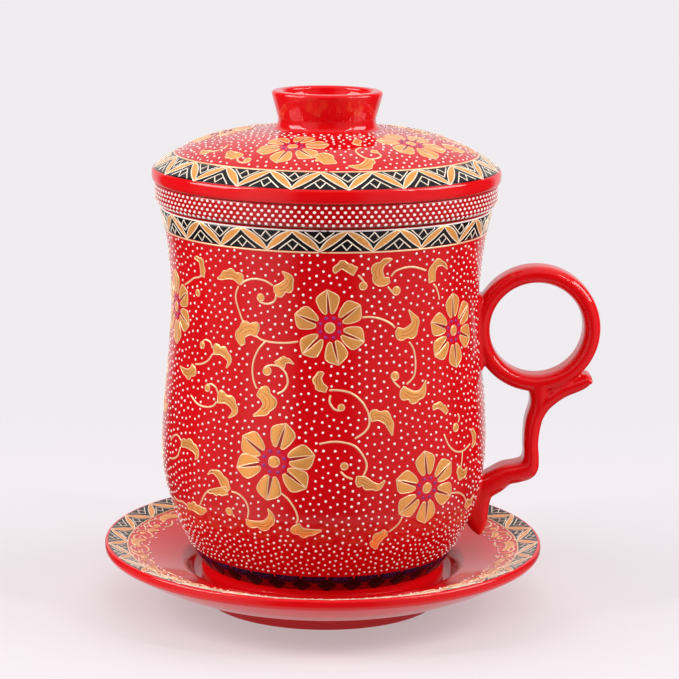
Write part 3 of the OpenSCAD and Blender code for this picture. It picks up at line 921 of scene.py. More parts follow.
mug_side = upright_wall(mug_wall_radius)
lid_top = level_wall(dome)
saucer_slope = level_wall(saucer_height)
band_z, band_h = 103.4, 5.45
arch_border(
    "mug_border", "mug", mug_side, lambda p, q: (p, band_z + q),
    pitch_r=PAINT_R, height=band_h, line_at=-0.25, arches=20, first_angle=-2.0,
)
arch_border(
    "lid_border", "lid", lid_top, level_chart(43.7, 46.35),
    pitch_r=43.7, height=5.35, line_at=5.55, arches=20, first_angle=7.0,
)
arch_border(
    "saucer_border", "saucer", saucer_slope, level_chart(56.4, 59.2),
    pitch_r=56.4, height=5.2, line_at=5.4, arches=26, first_angle=2.5,
)

FANS, first_fan = 32, math.radians(-3.6)
FAN_RIBS = (-0.32, -0.16, 0, 0.16, 0.32)  # where the ribs end, in shares of the pitch
fan_pitch = 2 * math.pi * PAINT_R / FANS
fan_top, fan_low, lozenge_top, lozenge_foot = 15.9, 13.4, 15.2, 10.7
fan_h, rib_w, rib_h = 0.06, 0.16, 0.09
blue, ribs, black = (Coat(mug_side) for _ in range(3))
scallop = np.linspace(0, math.pi, 13)
fan = np.stack(
    [-0.48 * fan_pitch * np.cos(scallop), fan_top - (fan_top - fan_low) * np.sin(scallop) ** 0.7], -1
)
blue.fill(straight(fan[0], fan[-1]), fan, fan_h)
for share in FAN_RIBS:
    rib_tip = (share * fan_pitch, fan_low + 0.5 + 7 * share**2)
    ribs.line(straight((share * 0.3 * fan_pitch, fan_top - 0.3), rib_tip, 4), rib_w, rib_h)
up = np.linspace(lozenge_top, lozenge_foot, 13)
half_lozenge = 0.45 * fan_pitch * (1 - np.abs(2 * (up - lozenge_foot) / (lozenge_top - lozenge_foot) - 1))
lozenge = (np.stack([fan_pitch / 2 + side * half_lozenge, up], -1) for side in (-1, 1))
black.fill(*lozenge, fan_h)
for coat, name, material, slot in (
    (blue, "mug_foot_blue", blue_enamel, "blue_enamel"),
    (ribs, "mug_foot_ribs", rib_enamel, "blue_enamel"),
    (black, "mug_foot_black", black_enamel, "black_enamel"),
):
    fans = {"Count": FANS, "First angle": first_fan, "Material": material}
    on_body(made_by(coat.mesh(name, material), ring_of, fans), "mug")


# Flowers and scrolls
# Split-petalled flowers, curled leaves and thin tendrils: gold enamel between raised cream
# lines, with violet beads round each flower's heart. They cover the mug and the lid, and a
# wreath of leaves and tendrils lies inside the saucer's border.

UMBER, UMBER_CLOUD = (0.27, 0.016, 0.01), (0.33, 0.026, 0.012)
ROSE, ROSE_CLOUD = (0.56, 0.003, 0.014), (0.62, 0.006, 0.04)
VIOLET, VIOLET_CLOUD = (0.26, 0.03, 0.19), (0.34, 0.06, 0.25)

umber_enamel = fired("umber_enamel", UMBER, UMBER_CLOUD, cloud_size=2.0)
rose_enamel = fired("rose_enamel", ROSE, ROSE_CLOUD, cloud_size=2.0)
violet_enamel = fired("violet_enamel", VIOLET, VIOLET_CLOUD, cloud_size=2.0)

PETAL_R = 10.5  # reach of a petal that the two outlines below are drawn for
PETAL_SLIT = ((4.1, 0.54), (6, 0.46), (8, 0.34), (9.4, 0.16), (10.5, 0.02))
PETAL_EDGE = (
    (4.1, 0.54), (3.8, 1), (4.1, 1.5), (5.2, 2.3), (6.8, 2.95), (8.1, 3.2), (9.1, 2.45), (9.9, 1.1),
    (10.5, 0.02),
)
HEART_R, SEED_R, SEED_LINE_R, HEART_BEADS_R, HEART_BEAD_R = 3.9, 1.35, 1.4, 2.85, 0.45
slit_line, edge_line = (evenly(through(outline), 19) for outline in (PETAL_SLIT, PETAL_EDGE))


class Painting:
    """Gold, cream, umber, rose and violet strokes that make up the flowers of one body."""

    def __init__(self, wall):
        self.gold, self.cream, self.umber, self.rose, self.violet = (Coat(wall) for _ in range(5))

    def flower(self, centre, reach, ways):
        """A flower of split petals that point the given ways, in degrees."""
        size = reach / PETAL_R
        for way in ways:
            turn = math.radians(way)
            c, s = size * math.cos(turn), size * math.sin(turn)
            spin = np.array([[c, s], [-s, c]])
            for side in (-1, 1):
                slit, edge = (centre + (line * (1, side)) @ spin for line in (slit_line, edge_line))
                self.gold.fill(slit, edge)
                self.cream.line(np.concatenate([slit[1:], edge[-2::-1]]), EDGE_LINE, closed=True)
            split = (centre + (slit_line * (1, side)) @ spin for side in (-1, 1))
            self.umber.fill(*split, FLAT_H)
        self.rose.disc(centre, HEART_R * size, 0.03)
        self.gold.disc(centre, SEED_R * size, 0.12)
        self.cream.circle(centre, SEED_LINE_R * size, EDGE_LINE)
        for turn in np.radians(np.arange(8) * 45 + 22):
            spot = centre + HEART_BEADS_R * size * np.array([math.cos(turn), math.sin(turn)])
            self.violet.disc(spot, HEART_BEAD_R * size, 0.16)

    def leaf(self, rows):
        """A curled leaf along rows of (across, up, width), frilled on its outer side."""
        line = through(rows)
        spine, half = line[:, :2], line[:, 2] / 2
        first, last = spine[len(spine) // 2] - spine[0], spine[-1] - spine[0]
        along = np.linspace(0, 1, len(line))
        frill = half * (1 + 1.2 * (1 - along) * (np.abs(np.sin(3.5 * math.pi * along)) - 0.35))
        frill_left = first[0] * last[1] - first[1] * last[0] < 0
        left = beside(spine, frill if frill_left else half)[0]
        right = beside(spine, half if frill_left else frill)[1]
        self.gold.fill(left, right)
        self.cream.line(np.concatenate([left, right[::-1]]), EDGE_LINE, closed=True)
        n = len(line)
        for share in (-0.4, 0.3) if half.max() > 1.1 else (0,):
            self.umber.line(beside(spine, share * half)[0][n // 8 : -n // 4], 0.2, 0.12)

    def tendril(self, points):
        """A thin stem through points."""
        self.cream.line(through(points), VINE_LINE)

    def curl(self, centre, radius):
        """The round bud that ends a tendril."""
        self.gold.disc(centre, radius - 0.1, 0.1)
        self.cream.circle(centre, radius, EDGE_LINE)

    def spray(self, leaves, tendrils, curls, placed):
        """Leaves, tendrils and buds, each put where the given move takes it."""
        for rows in leaves:
            self.leaf(placed(rows))
        for points in tendrils:
            self.tendril(placed(points))
        for centre, radius in curls:
            self.curl(placed(centre), radius)

    def finish(self, name, body):
        """One finished piece for each colour, all riding on the body."""
        made = []
        for coat, colour, material, slot in (
            (self.gold, "gold", gold_enamel, "gold_enamel"),
            (self.cream, "cream", cream_enamel, "cream_enamel"),
            (self.umber, "umber", umber_enamel, "black_enamel"),
            (self.rose, "rose", rose_enamel, "purple_enamel"),
            (self.violet, "violet", violet_enamel, "purple_enamel"),
        ):
            if coat.points:
                made.append(on_body(coat.mesh(f"{name}_{colour}", material), body))
        return made


# Places on the mug are (distance across, height), with the distance counted from the middle of
# the front towards the handle. A flower is its middle, its reach and the ways of its petals.
MUG_FLOWERS = (
    ((1.3, 83.5), 9.9, (95, 36, -22, -76, -136, 160)),
    ((-12.6, 48.4), 10.6, (74, 146, 194, 260, 322, 12)),
    ((28.4, 39.9), 10.1, (96, 34, -22, -84, 217, 160)),
    ((40.3, 79.9), 10.0, (95, 35, -20, -85, 215, 160)),
    ((-53.5, 83.5), 10.0, (90, 32, -22, -80, 215, 155)),
)
MUG_LEAVES = (
    ((-18.3, 81.3, 2.4), (-20.6, 82.2, 3.2), (-23, 81, 3), (-23.4, 79.4, 2.6), (-22.6, 77.8, 1.4)),
    ((-22.9, 94.2, 2.2), (-25, 95.6, 2.2), (-27.5, 95.7, 2.2), (-29.5, 94.7, 1.2), (-31, 94.3, 0.2)),
    ((-13.6, 93, 1.8), (-11.5, 93.3, 2.8), (-9.7, 94.8, 2.6), (-9.8, 96.6, 1.6), (-11.2, 97.8, 0.2)),
    ((-17.5, 66.2, 2.2), (-15.3, 65, 3.2), (-14.6, 63, 3), (-15.9, 61.3, 2), (-18.6, 59.8, 0.3)),
    ((-11.8, 73, 2.4), (-11, 74.5, 1.9), (-9.5, 74.7, 0.9), (-8.1, 73.9, 0.1)),
    ((-32.5, 75, 2), (-30, 75.4, 2.2), (-27.8, 74.4, 1.8), (-26.8, 73, 1.1), (-27.7, 71.2, 0.2)),
    ((-40.5, 69.8, 2), (-41.5, 68, 2.4), (-44, 67.3, 2), (-48, 68.2, 0.3)),
    ((-30, 63, 2.6), (-27, 63.1, 2.3), (-24.8, 61.8, 2), (-24.3, 60, 1.3), (-26, 58.4, 0.2)),
    ((-39.8, 98.6, 0.3), (-37.3, 98.2, 1.5), (-36.7, 96.4, 1.8), (-36.9, 94, 1.6)),
    ((2.2, 98, 0.8), (4, 99.8, 1.8), (6, 99, 2), (7.7, 98.2, 2.4)),
    ((17.3, 101.1, 0.2), (14.6, 99.9, 1.8), (13.6, 97.8, 2.8), (14.8, 95.3, 2.6), (17, 95.6, 1.4)),
    ((36, 96.8, 0.2), (34, 98.4, 1), (31.5, 98.6, 1.9), (30.3, 96.5, 2.2), (30.6, 94, 2.2)),
    ((19.6, 82.3, 1.6), (21.8, 81.2, 2.6), (24.2, 81.9, 3), (25.4, 84, 2.2), (23.2, 87.3, 0.1)),
    ((20.9, 66.9, 1.8), (22.5, 65.5, 2.6), (24.8, 64.6, 2.6), (27.2, 65.4, 2), (28.6, 68.3, 0.1)),
    ((30.6, 60.6, 0.8), (32.5, 61.2, 1.4), (34.5, 60.2, 1.5), (35.8, 58.8, 1.2)),
    ((12, 60, 1.8), (14.2, 60.5, 2.4), (16.5, 59.3, 2.4), (17.3, 57.4, 1.6), (17.8, 55.2, 0.2)),
    ((8.2, 44.2, 1.6), (10, 43.7, 2.4), (12.3, 42.3, 2), (14.3, 42, 1.3), (15.7, 43.5, 0.2)),
    ((-7.2, 31.5, 2.4), (-6, 29.8, 2.4), (-3.5, 29.6, 1.8), (-0.5, 30.2, 0.4)),
    ((-21, 31, 1.6), (-18.5, 30.8, 1.6), (-15.2, 31, 2.4), (-13.6, 33.4, 1.6), (-14.4, 35.6, 0.1)),
    ((-32.4, 42.3, 0.2), (-30.4, 43.4, 0.9), (-28, 42.4, 2), (-26.6, 40.6, 2.6), (-25.5, 39.2, 1.2)),
    ((-33, 37.6, 0.3), (-30.5, 38, 1.4), (-28, 38.5, 2), (-26, 39, 2.2)),
    ((-43.5, 30.6, 0.8), (-40.5, 31.5, 2.2), (-37.5, 31.2, 2.4), (-34.5, 32, 0.6)),
    ((-44, 48, 1.2), (-41, 48.8, 2.2), (-38, 48.3, 2.2), (-36.5, 46.8, 1.4), (-37.3, 45.4, 0.2)),
    ((17.6, 28.6, 1.2), (15.8, 27.8, 2.4), (14.6, 26, 2.6), (15.2, 24.2, 0.6)),
    ((-0.4, 72, 0.6), (-1.6, 70.6, 1.8), (-1.2, 68.6, 2.2), (0.6, 67.6, 1.4)),
    ((40.3, 43.6, 0.8), (41.2, 41.6, 2.4), (43.2, 41, 2), (44.4, 42.4, 0.4)),
    ((47.5, 32.3, 1.4), (49.4, 31, 2.2), (51.6, 31.2, 1.8), (53, 32.8, 0.3)),
    ((47.3, 52, 0.8), (48.6, 50.6, 1.8), (48.8, 48.6, 1.8), (47.4, 47.4, 0.6)),
)
MUG_TENDRILS = (
    ((-7, 79.8), (-10, 79.3), (-14, 79.2), (-17, 79.6), (-18.7, 80.4)),
    ((-22.6, 83.4), (-23.8, 86), (-24.9, 89), (-24.9, 91), (-24, 93)),
    ((-23.4, 93.4), (-21.8, 94.6), (-19, 95.4), (-16, 95.1), (-13.8, 94)),
    ((-13, 91.8), (-13.3, 90.4), (-14.3, 89.4), (-16, 89.1), (-17.6, 89.5), (-18.5, 90.6)),
    ((-16, 79.3), (-18, 77), (-19.3, 74), (-19.5, 71), (-18.8, 68.3), (-17.9, 66.8)),
    (
        (-12.4, 66), (-10.6, 67), (-9.6, 69), (-10.1, 71.3), (-11.6, 72.9), (-13, 73.3), (-15, 73.1),
        (-16.2, 72),
    ),
    ((-32.8, 74.2), (-34.5, 72.2), (-37, 70.9), (-40, 70.3)),
    ((-33, 75.5), (-34, 77), (-36, 77.4), (-37.3, 76.6)),
    ((-29.9, 64), (-30.7, 65.4), (-32.5, 66.2), (-34.6, 65.7)),
    ((-30.3, 62), (-31.5, 60.7), (-34, 60), (-37.5, 60.2), (-41, 62)),
    ((-37, 94.4), (-38.6, 93.6), (-41, 93), (-44, 91.5), (-46.6, 90.4)),
    ((8.4, 97.3), (9.6, 96), (10.3, 95)),
    ((17.4, 96.4), (18.6, 97.8), (21, 98.5), (24, 98.5), (28.3, 97.2)),
    ((16.6, 93.9), (17.8, 92.6), (18.6, 91.9)),
    ((31, 93.4), (32.2, 92.4), (33.2, 90.7), (33.8, 88.8)),
    ((9.8, 86.1), (12.5, 86.1), (15.5, 85.3), (18, 84), (19.2, 82.9)),
    ((23.4, 79), (24.8, 77), (25.4, 74), (25.2, 71), (24.2, 69.2), (22.3, 68)),
    ((20.4, 67.3), (18.9, 68.7), (18, 70.3)),
    ((34.3, 53.4), (35.7, 50.6), (38, 48.4), (41, 47.4), (43.5, 47.6), (46.4, 48.6)),
    ((40.3, 55.4), (41, 56.6), (40.4, 57.8)),
    ((42, 47.3), (41.8, 45), (41.3, 43)),
    ((37.8, 36.7), (41, 36.2), (44.5, 34.6), (47, 32.5)),
    ((1.2, 67.4), (3, 67.5), (6, 67), (8, 66), (10, 64), (11.4, 61.6)),
    ((11.4, 61.6), (11.7, 59.6), (11.4, 57.8), (10, 56.2), (7.8, 54.9)),
    ((1.6, 66.2), (1.4, 64.4), (2.6, 62.6), (4.2, 62.2)),
    ((-1.2, 53.6), (2, 54.2), (5, 54), (7.8, 53), (9.6, 51), (10.8, 48.6), (10.8, 46.8), (10, 45)),
    ((7.4, 44.3), (5.4, 45.2), (4.3, 46.5)),
    ((-11, 40.4), (-9, 38.8), (-7.2, 36), (-6.5, 33.5), (-7, 32)),
    ((-24.8, 39), (-22.5, 38.6), (-20.6, 37), (-19.9, 34.7), (-20.5, 32)),
    ((-32, 38), (-34, 36.6), (-36, 34), (-36.8, 32.8)),
    ((-25, 32.6), (-24.4, 31.6)),
    ((-44.5, 47.2), (-46, 44.5), (-49, 43), (-52, 42.5)),
    ((-44, 49), (-46.5, 50), (-49, 49.2), (-51, 47.5)),
    ((-43.8, 31.2), (-46.6, 31.6), (-50, 31), (-53, 31.6)),
    ((21.5, 33), (20.5, 30.8), (18, 28.8)),
)
MUG_CURLS = (
    ((-17.4, 90.6), 0.95), ((-15.3, 71.7), 1.1), ((-37.2, 75.8), 0.9), ((-34, 65), 0.9), ((-39.5, 89.3), 0.9),
    ((9.9, 94.3), 1), ((19.2, 92.6), 1.1), ((19, 70.4), 1.1), ((39.2, 54.3), 1.1), ((4.4, 63), 0.8),
    ((5.2, 47.8), 0.9), ((-26, 33.2), 1),
)

# Between the front's flowers and those of the far side.
MUG_SIDE_LEAVES = (
    ((-70, 94.2, 1.6), (-68, 96, 2.6), (-65.5, 96, 2.4), (-63.4, 94.2, 0.3)),
    ((-71.4, 83.4, 1.4), (-74.5, 81.6, 2.6), (-77, 82.6, 2), (-78, 85.2, 0.3)),
    ((-68.2, 76, 1.4), (-65, 74.4, 2.6), (-62.6, 75.4, 2), (-61.6, 77.8, 0.3)),
    ((-62, 58, 1.4), (-60.2, 55.4, 2.6), (-57.8, 55, 2), (-55.6, 56.4, 0.3)),
    ((-73.8, 62, 1.2), (-76.4, 60, 2.4), (-78.8, 60.6, 1.8), (-80, 62.8, 0.3)),
    ((-67.6, 48, 1.4), (-70, 45, 2.6), (-72.8, 44.6, 2), (-75, 46.2, 0.3)),
    ((-62, 35, 1.4), (-64.2, 32.2, 2.6), (-67, 31.8, 2), (-69, 33.4, 0.3)),
)
MUG_SIDE_TENDRILS = (
    ((-70, 94), (-72.5, 91), (-73, 87), (-71, 83), (-68.5, 79.5), (-68, 75), (-70, 71)),
    ((-69.6, 70.5), (-66, 68), (-62, 66), (-60.5, 62), (-62, 58)),
    ((-70.4, 70), (-73.5, 66), (-74, 61), (-71, 57), (-68, 53), (-67.5, 48)),
    ((-67.8, 47), (-64, 44), (-61, 40), (-62, 35)),
)
FAR_SIDE = 137.5  # how far on the front's flowers are painted again, clear of the handle


def across(distance):
    """The move that takes places on the mug, or rows that begin with one, on across its wall."""

    def move(places):
        p = np.array(places, float)
        p[..., 0] += distance
        return p

    return move


mug_painting = Painting(mug_side)
for distance in (0, FAR_SIDE):
    for centre, reach, ways in MUG_FLOWERS:
        mug_painting.flower(across(distance)(centre), reach, ways)
    mug_painting.spray(MUG_LEAVES, MUG_TENDRILS, MUG_CURLS, across(distance))
mug_painting.spray(MUG_SIDE_LEAVES, MUG_SIDE_TENDRILS, (), across(0))
mug_flowers = mug_painting.finish("mug_flowers", "mug")

# Places on the lid are seen from above, with the handle on the right. The leaves lie between
# two flowers and are repeated round the knob; the side leaves fill the last gap on the left.
LID_FLOWER_R, LID_FLOWER_REACH = 28.6, 9.3
LID_FLOWERS = (-17.8, 50, 120, 191, 263)  # turns in degrees from the front
LID_GROUPS = (0, 72, 144, 216)
LID_LEAVES = (
    ((-1.6, -32.6, 2), (-0.4, -34.6, 4.2), (0.6, -36.2, 3.2), (2.4, -37.2, 0.6)),
    ((10.6, -33.8, 1.2), (10.6, -36, 2.4), (8.8, -38, 2), (5.6, -38.2, 0.3)),
    ((7.2, -20.4, 0.4), (8.2, -22, 1.6), (7.6, -24.4, 1.8), (8.6, -26, 0.6)),
)
LID_TENDRILS = (
    ((10.6, -34), (9, -33), (7.6, -31), (7.6, -29), (9, -27.4)),
    ((10.8, -34), (12.6, -33.2), (13.9, -31.4), (13, -29.6)),
)
LID_CURLS = (((12.2, -29.4), 0.9),)
LID_SIDE_LEAVES = (
    ((-24.8, -23.6, 0.3), (-24.8, -25.6, 2.2), (-23.4, -27.6, 2.8), (-21.6, -28.8, 1)),
    ((-32.4, -16.6, 0.3), (-32, -18.6, 1.6), (-30.4, -20, 1.6)),
)
LID_SIDE_TENDRILS = (
    ((-22.6, -28.6), (-22.8, -30.6), (-21.4, -32.4), (-19.6, -32.8)),
    ((-30.2, -20), (-28, -21), (-26.4, -20), (-25.6, -18)),
)
LID_SIDE_CURLS = (((-20.2, -31.8), 0.9),)


def round_axis(degrees):
    """The move that turns places seen from above, or rows that begin with one, about the axis."""
    c, s = math.cos(math.radians(degrees)), math.sin(math.radians(degrees))

    def move(places):
        p = np.array(places, float)
        x, y = p[..., 0] * c - p[..., 1] * s, p[..., 0] * s + p[..., 1] * c
        return np.concatenate([np.stack([x, y], -1), p[..., 2:]], -1)

    return move


lid_painting = Painting(lid_top)
for degrees in LID_FLOWERS:
    middle = round_axis(degrees)((0, -LID_FLOWER_R))
    lid_painting.flower(middle, LID_FLOWER_REACH, 60 * np.arange(6) + degrees + 22)
for degrees in LID_GROUPS:
    lid_painting.spray(LID_LEAVES, LID_TENDRILS, LID_CURLS, round_axis(degrees))
lid_painting.spray(LID_SIDE_LEAVES, LID_SIDE_TENDRILS, LID_SIDE_CURLS, round_axis(0))
lid_flowers = lid_painting.finish("lid_flowers", "lid")

# The saucer's wreath: one spray, repeated inside the border.
WREATH_SPRAYS = 12
WREATH_LEAVES = (
    ((-3.8, -49.4, 0.5), (-2.4, -50.8, 1.7), (0, -51.8, 2.1), (2.6, -51.4, 1.5), (4, -50, 0.3)),
    ((10.6, -47.4, 0.3), (11.6, -48.2, 1.3), (13, -48.6, 1.5), (14.2, -48, 0.5)),
)
WREATH_TENDRILS = (
    ((3.4, -51.2), (5.6, -52.4), (8.2, -52.4), (10, -51), (10.2, -49.4), (8.8, -48.8)),
    ((9.2, -52), (11.4, -51.8), (13, -50.4), (14.2, -49.4)),
    ((-1.6, -52), (-3.6, -52.6), (-6, -52), (-6.6, -50.4), (-5.4, -49)),
    ((-7, -48.4), (-8.8, -47.6), (-10.8, -48.4), (-11.2, -50.2), (-10, -51.6), (-8, -52.2)),
    ((0.6, -49.6), (2.2, -48.4), (4.4, -47.8), (6.4, -48.2)),
)
WREATH_CURLS = (((8.2, -49.6), 0.8), ((-9.2, -50.4), 0.7))

wreath = Painting(saucer_slope)
for i in range(WREATH_SPRAYS):
    wreath.spray(WREATH_LEAVES, WREATH_TENDRILS, WREATH_CURLS, round_axis(i * 360 / WREATH_SPRAYS))
saucer_wreath = wreath.finish("saucer_wreath", "saucer")


# Beads
# White enamel beads, each touched on with a fine tip, fill the red between the flowers, and
# a white line runs round the mug's lip. Five staggered rows of wider beads cover the collar
# of the infuser.

WHITE, WHITE_CLOUD = (0.97, 0.87, 0.82), (0.93, 0.83, 0.78)
BEAD_R, BEAD_H, BEAD_SIDES = 0.35, 0.2, 7
BEAD_SPREAD = (0.86, 1.14)  # smallest and largest bead, in shares of the size
BEAD_CLEAR = 0.6  # least distance from a bead's middle to a stroke
MUG_GAP, MUG_LOW_GAP, LID_GAP, SAUCER_GAP = 1.84, 1.5, 1.84, 1.7  # least distances between middles
LOW_BEADS_Z, LOW_BEADS_TOP_Z = 16.6, 27.0  # the mug's beads stand closer low down
BEADS_Z, BEADS_TOP_Z = 27.8, 102.5
LID_BEADS_IN_R, LID_BEADS_OUT_R = knob_foot_r + 1.2, 40.0
SAUCER_BEADS_IN_R, SAUCER_BEADS_OUT_R = border_in_r + 1.4, 53.6

white_enamel = fired("white_enamel", WHITE, WHITE_CLOUD, cloud_size=2.0)


def bead(name):
    """One domed bead with its underside below the glaze."""
    turn = np.arange(BEAD_SIDES) * 2 * math.pi / BEAD_SIDES
    points = [
        (share * BEAD_R * math.cos(a), share * BEAD_R * math.sin(a), lift)
        for share, lift in ((1, -ENAMEL_SINK), (0.82, 0.75 * BEAD_H))
        for a in turn
    ]
    low, high, top = range(BEAD_SIDES), range(BEAD_SIDES, 2 * BEAD_SIDES), 2 * BEAD_SIDES
    faces = [tuple(low)[::-1]]
    for i in low:
        k = (i + 1) % BEAD_SIDES
        faces += [(low[i], low[k], high[k], high[i]), (high[i], high[k], top)]
    return mesh_object(name, [*points, (0, 0, BEAD_H)], faces, [white_enamel])


def bead_tree():
    """Geometry Nodes: beads strewn over a wall, clear of the strokes."""
    tree = bpy.data.node_groups.new("strewn_beads", "GeometryNodeTree")
    tree.is_modifier = True
    socket = tree.interface.new_socket
    for name, kind in {
        "Geometry": "Geometry",
        "Bead": "Object",
        "Strokes": "Object",
        "Gap": "Float",
        "Clearance": "Float",
        "Smallest": "Float",
        "Largest": "Float",
        "Seed": "Int",
        "Material": "Material",
    }.items():
        socket(name, in_out="INPUT", socket_type="NodeSocket" + kind)
    socket("Geometry", in_out="OUTPUT", socket_type="NodeSocketGeometry")
    add = nodes_of(tree)
    given = add("NodeGroupInput").outputs
    evenly_strewn = {"Mesh": given["Geometry"], "Distance Min": given["Gap"], "Density Max": 4e6}
    spread = add(
        "GeometryNodeDistributePointsOnFaces",
        {**evenly_strewn, "Seed": given["Seed"]},
        distribute_method="POISSON",
    ).outputs
    strokes = add("GeometryNodeObjectInfo", {"Object": given["Strokes"]}).outputs["Geometry"]
    away = add("GeometryNodeProximity", {"Geometry": strokes}).outputs["Distance"]
    near = add("FunctionNodeCompare", {0: away, 1: given["Clearance"]}, operation="LESS_THAN").outputs[0]
    kept = add("GeometryNodeDeleteGeometry", {"Geometry": spread["Points"], "Selection": near}).outputs[0]
    shape = add("GeometryNodeObjectInfo", {"Object": given["Bead"]}).outputs["Geometry"]
    sizes = {"Min": given["Smallest"], "Max": given["Largest"], "Seed": given["Seed"]}
    size = add("FunctionNodeRandomValue", sizes, data_type="FLOAT").outputs["Value"]
    placed = {"Points": kept, "Instance": shape, "Rotation": spread["Rotation"], "Scale": size}
    beads = add("GeometryNodeInstanceOnPoints", placed).outputs[0]
    real = add("GeometryNodeRealizeInstances", {"Geometry": beads}).outputs[0]
    done = add("GeometryNodeSetMaterial", {"Geometry": real, "Material": given["Material"]}).outputs[0]
    add("NodeGroupOutput", {"Geometry": done})
    return tree


def band_of_wall(name, line):
    """An open band turned from a line of (radius, height), facing away from the axis or up."""
    n = TURNS // 2
    angle = np.linspace(0, 2 * math.pi, n, endpoint=False)
    r, z = np.array(line).T[:, :, None]
    points = np.stack([r * np.cos(angle), r * np.sin(angle), z + 0 * angle], -1).reshape(-1, 3)
    faces = [
        (i * n + k, i * n + (k + 1) % n, (i + 1) * n + (k + 1) % n, (i + 1) * n + k)
        for i in range(len(line) - 1)
        for k in range(n)
    ]
    return mesh_object(name, points, faces, [])


def copy_of(piece):
    """A second object with its own mesh."""
    twin = piece.copy()
    twin.data = piece.data.copy()
    bpy.context.scene.collection.objects.link(twin)
    return twin


strewn_beads = bead_tree()
one_bead = bead("bead")


def strew(name, body, line, strokes, gap, seed):
    """Beads over the wall that a line of (radius, height) gives, clear of the strokes."""
    twins = joined([copy_of(piece) for piece in strokes])
    values = {
        "Bead": one_bead,
        "Strokes": twins,
        "Gap": gap * MM,
        "Clearance": BEAD_CLEAR * MM,
        "Smallest": BEAD_SPREAD[0],
        "Largest": BEAD_SPREAD[1],
        "Seed": seed,
        "Material": white_enamel,
    }
    beads = made_by(band_of_wall(name, line), strewn_beads, values)
    bpy.data.objects.remove(twins)
    on_body(beads, body)


slope_r = np.linspace(SAUCER_BEADS_IN_R, SAUCER_BEADS_OUT_R, 8)[::-1]
dome_r = np.linspace(LID_BEADS_OUT_R, LID_BEADS_IN_R, 30)
on_mug = mug_flowers + [handle]
low_line = mug_line(LOW_BEADS_Z, LOW_BEADS_TOP_Z, 0, 20)
strew("mug_low_beads", "mug", low_line, on_mug, MUG_LOW_GAP, seed=2)
strew("mug_beads", "mug", mug_line(BEADS_Z, BEADS_TOP_Z, 0, 90), on_mug, MUG_GAP, seed=3)
strew("lid_beads", "lid", np.stack([dome_r, dome(dome_r)], -1), lid_flowers, LID_GAP, seed=5)
slope_line = np.stack([slope_r, saucer_height(slope_r)], -1)
strew("saucer_beads", "saucer", slope_line, saucer_wreath, SAUCER_GAP, seed=7)
bpy.data.objects.remove(one_bead)

lip_line_drop, lip_line_w, lip_line_h = 0.72, 0.45, 0.2
lip = Coat(mug_side)
lip.line(once_round(PAINT_R, lip_z - lip_line_drop), lip_line_w, lip_line_h, closed=True)
on_body(lip.mesh("lip_line", white_enamel), "mug")

COLLAR_ROWS, ROW_BEADS, ROW_RISE, TOP_ROW_DROP, COLLAR_BEAD_R = 5, 149, 1.13, 0.75, 0.42


def collar_radius(z):
    """Outer radius of the collar at height z, with its rounded lower edge."""
    under = np.clip(collar_z + collar_edge - z, 0, 0.97 * collar_edge)
    return collar_r - collar_edge + np.sqrt(collar_edge**2 - under**2)


collar_side = upright_wall(collar_radius)
collar_beads = []
for i in range(COLLAR_ROWS):
    dot = Coat(collar_side)
    row_z = collar_top_z - TOP_ROW_DROP - ROW_RISE * i
    dot.disc((0, row_z), COLLAR_BEAD_R * PAINT_R / collar_r, BEAD_H)
    half_step = i % 2 * math.pi / ROW_BEADS
    dots = {"Count": ROW_BEADS, "First angle": half_step, "Material": white_enamel}
    collar_beads.append(made_by(dot.mesh("collar_beads", white_enamel), ring_of, dots))
on_body(joined(collar_beads), "infuser")


# Light, floor and backdrop
# A pale sheet runs from the table up behind the mug. Large soft lamps hang high on both
# sides; the room in front, which the glaze mirrors, is dim.

SHEET_PALE = (0.87, 0.84, 0.865)
SHEET_CLOTH = (0.68, 0.63, 0.655)
SHEET_LIT, SHEET_BOUNCE = 0.45, 0.4  # shares of the sheet's own glow beside the mug, and in its bounce
glow_near, glow_far = 60, 330  # the glow grows whole between these distances from the middle
mirror_near, mirror_far = 68, 96  # and here what the glaze mirrors turns from the table to the room

# What the glaze mirrors at a bearing right of the camera, in degrees: a white card low on
# the left, a fainter one on the right, and the sheet behind.
SURROUNDINGS = (
    (-180, 0.85), (-146, 0.8), (-134, 0.06), (-98, 0.06), (-88, 0.3), (-62, 0.42), (-52, 0.75), (-40, 0.72),
    (-26, 0.5), (-17, 0.03), (17, 0.03), (28, 0.34), (60, 0.44), (90, 0.34), (104, 0.06), (134, 0.06),
    (146, 0.8), (180, 0.85),
)


def surroundings_group():
    """Brightness of what stands around the mug, from a direction or place seen from its axis."""
    tree = bpy.data.node_groups.new("surroundings", "ShaderNodeTree")
    tree.interface.new_socket("Way", in_out="INPUT", socket_type="NodeSocketVector")
    tree.interface.new_socket("Level", in_out="OUTPUT", socket_type="NodeSocketFloat")
    add = nodes_of(tree)
    side = add("ShaderNodeSeparateXYZ", {0: add("NodeGroupInput").outputs["Way"]}).outputs
    front = add("ShaderNodeMath", {0: side["Y"], 1: -1.0}, operation="MULTIPLY").outputs[0]
    bearing = add("ShaderNodeMath", {0: side["X"], 1: front}, operation="ARCTAN2").outputs[0]
    share = add("ShaderNodeMath", {0: bearing, 1: 0.5 / math.pi, 2: 0.5}, operation="MULTIPLY_ADD").outputs[0]
    ramp = add("ShaderNodeValToRGB", {0: share})
    stops = ramp.color_ramp.elements
    while len(stops) < len(SURROUNDINGS):
        stops.new(0.5)
    for stop, (degrees, level) in zip(stops, SURROUNDINGS):
        stop.position = degrees / 360 + 0.5
        stop.color = (level, level, level, 1)
    add("NodeGroupOutput", {"Level": ramp.outputs[0]})
    return tree


surroundings = surroundings_group()


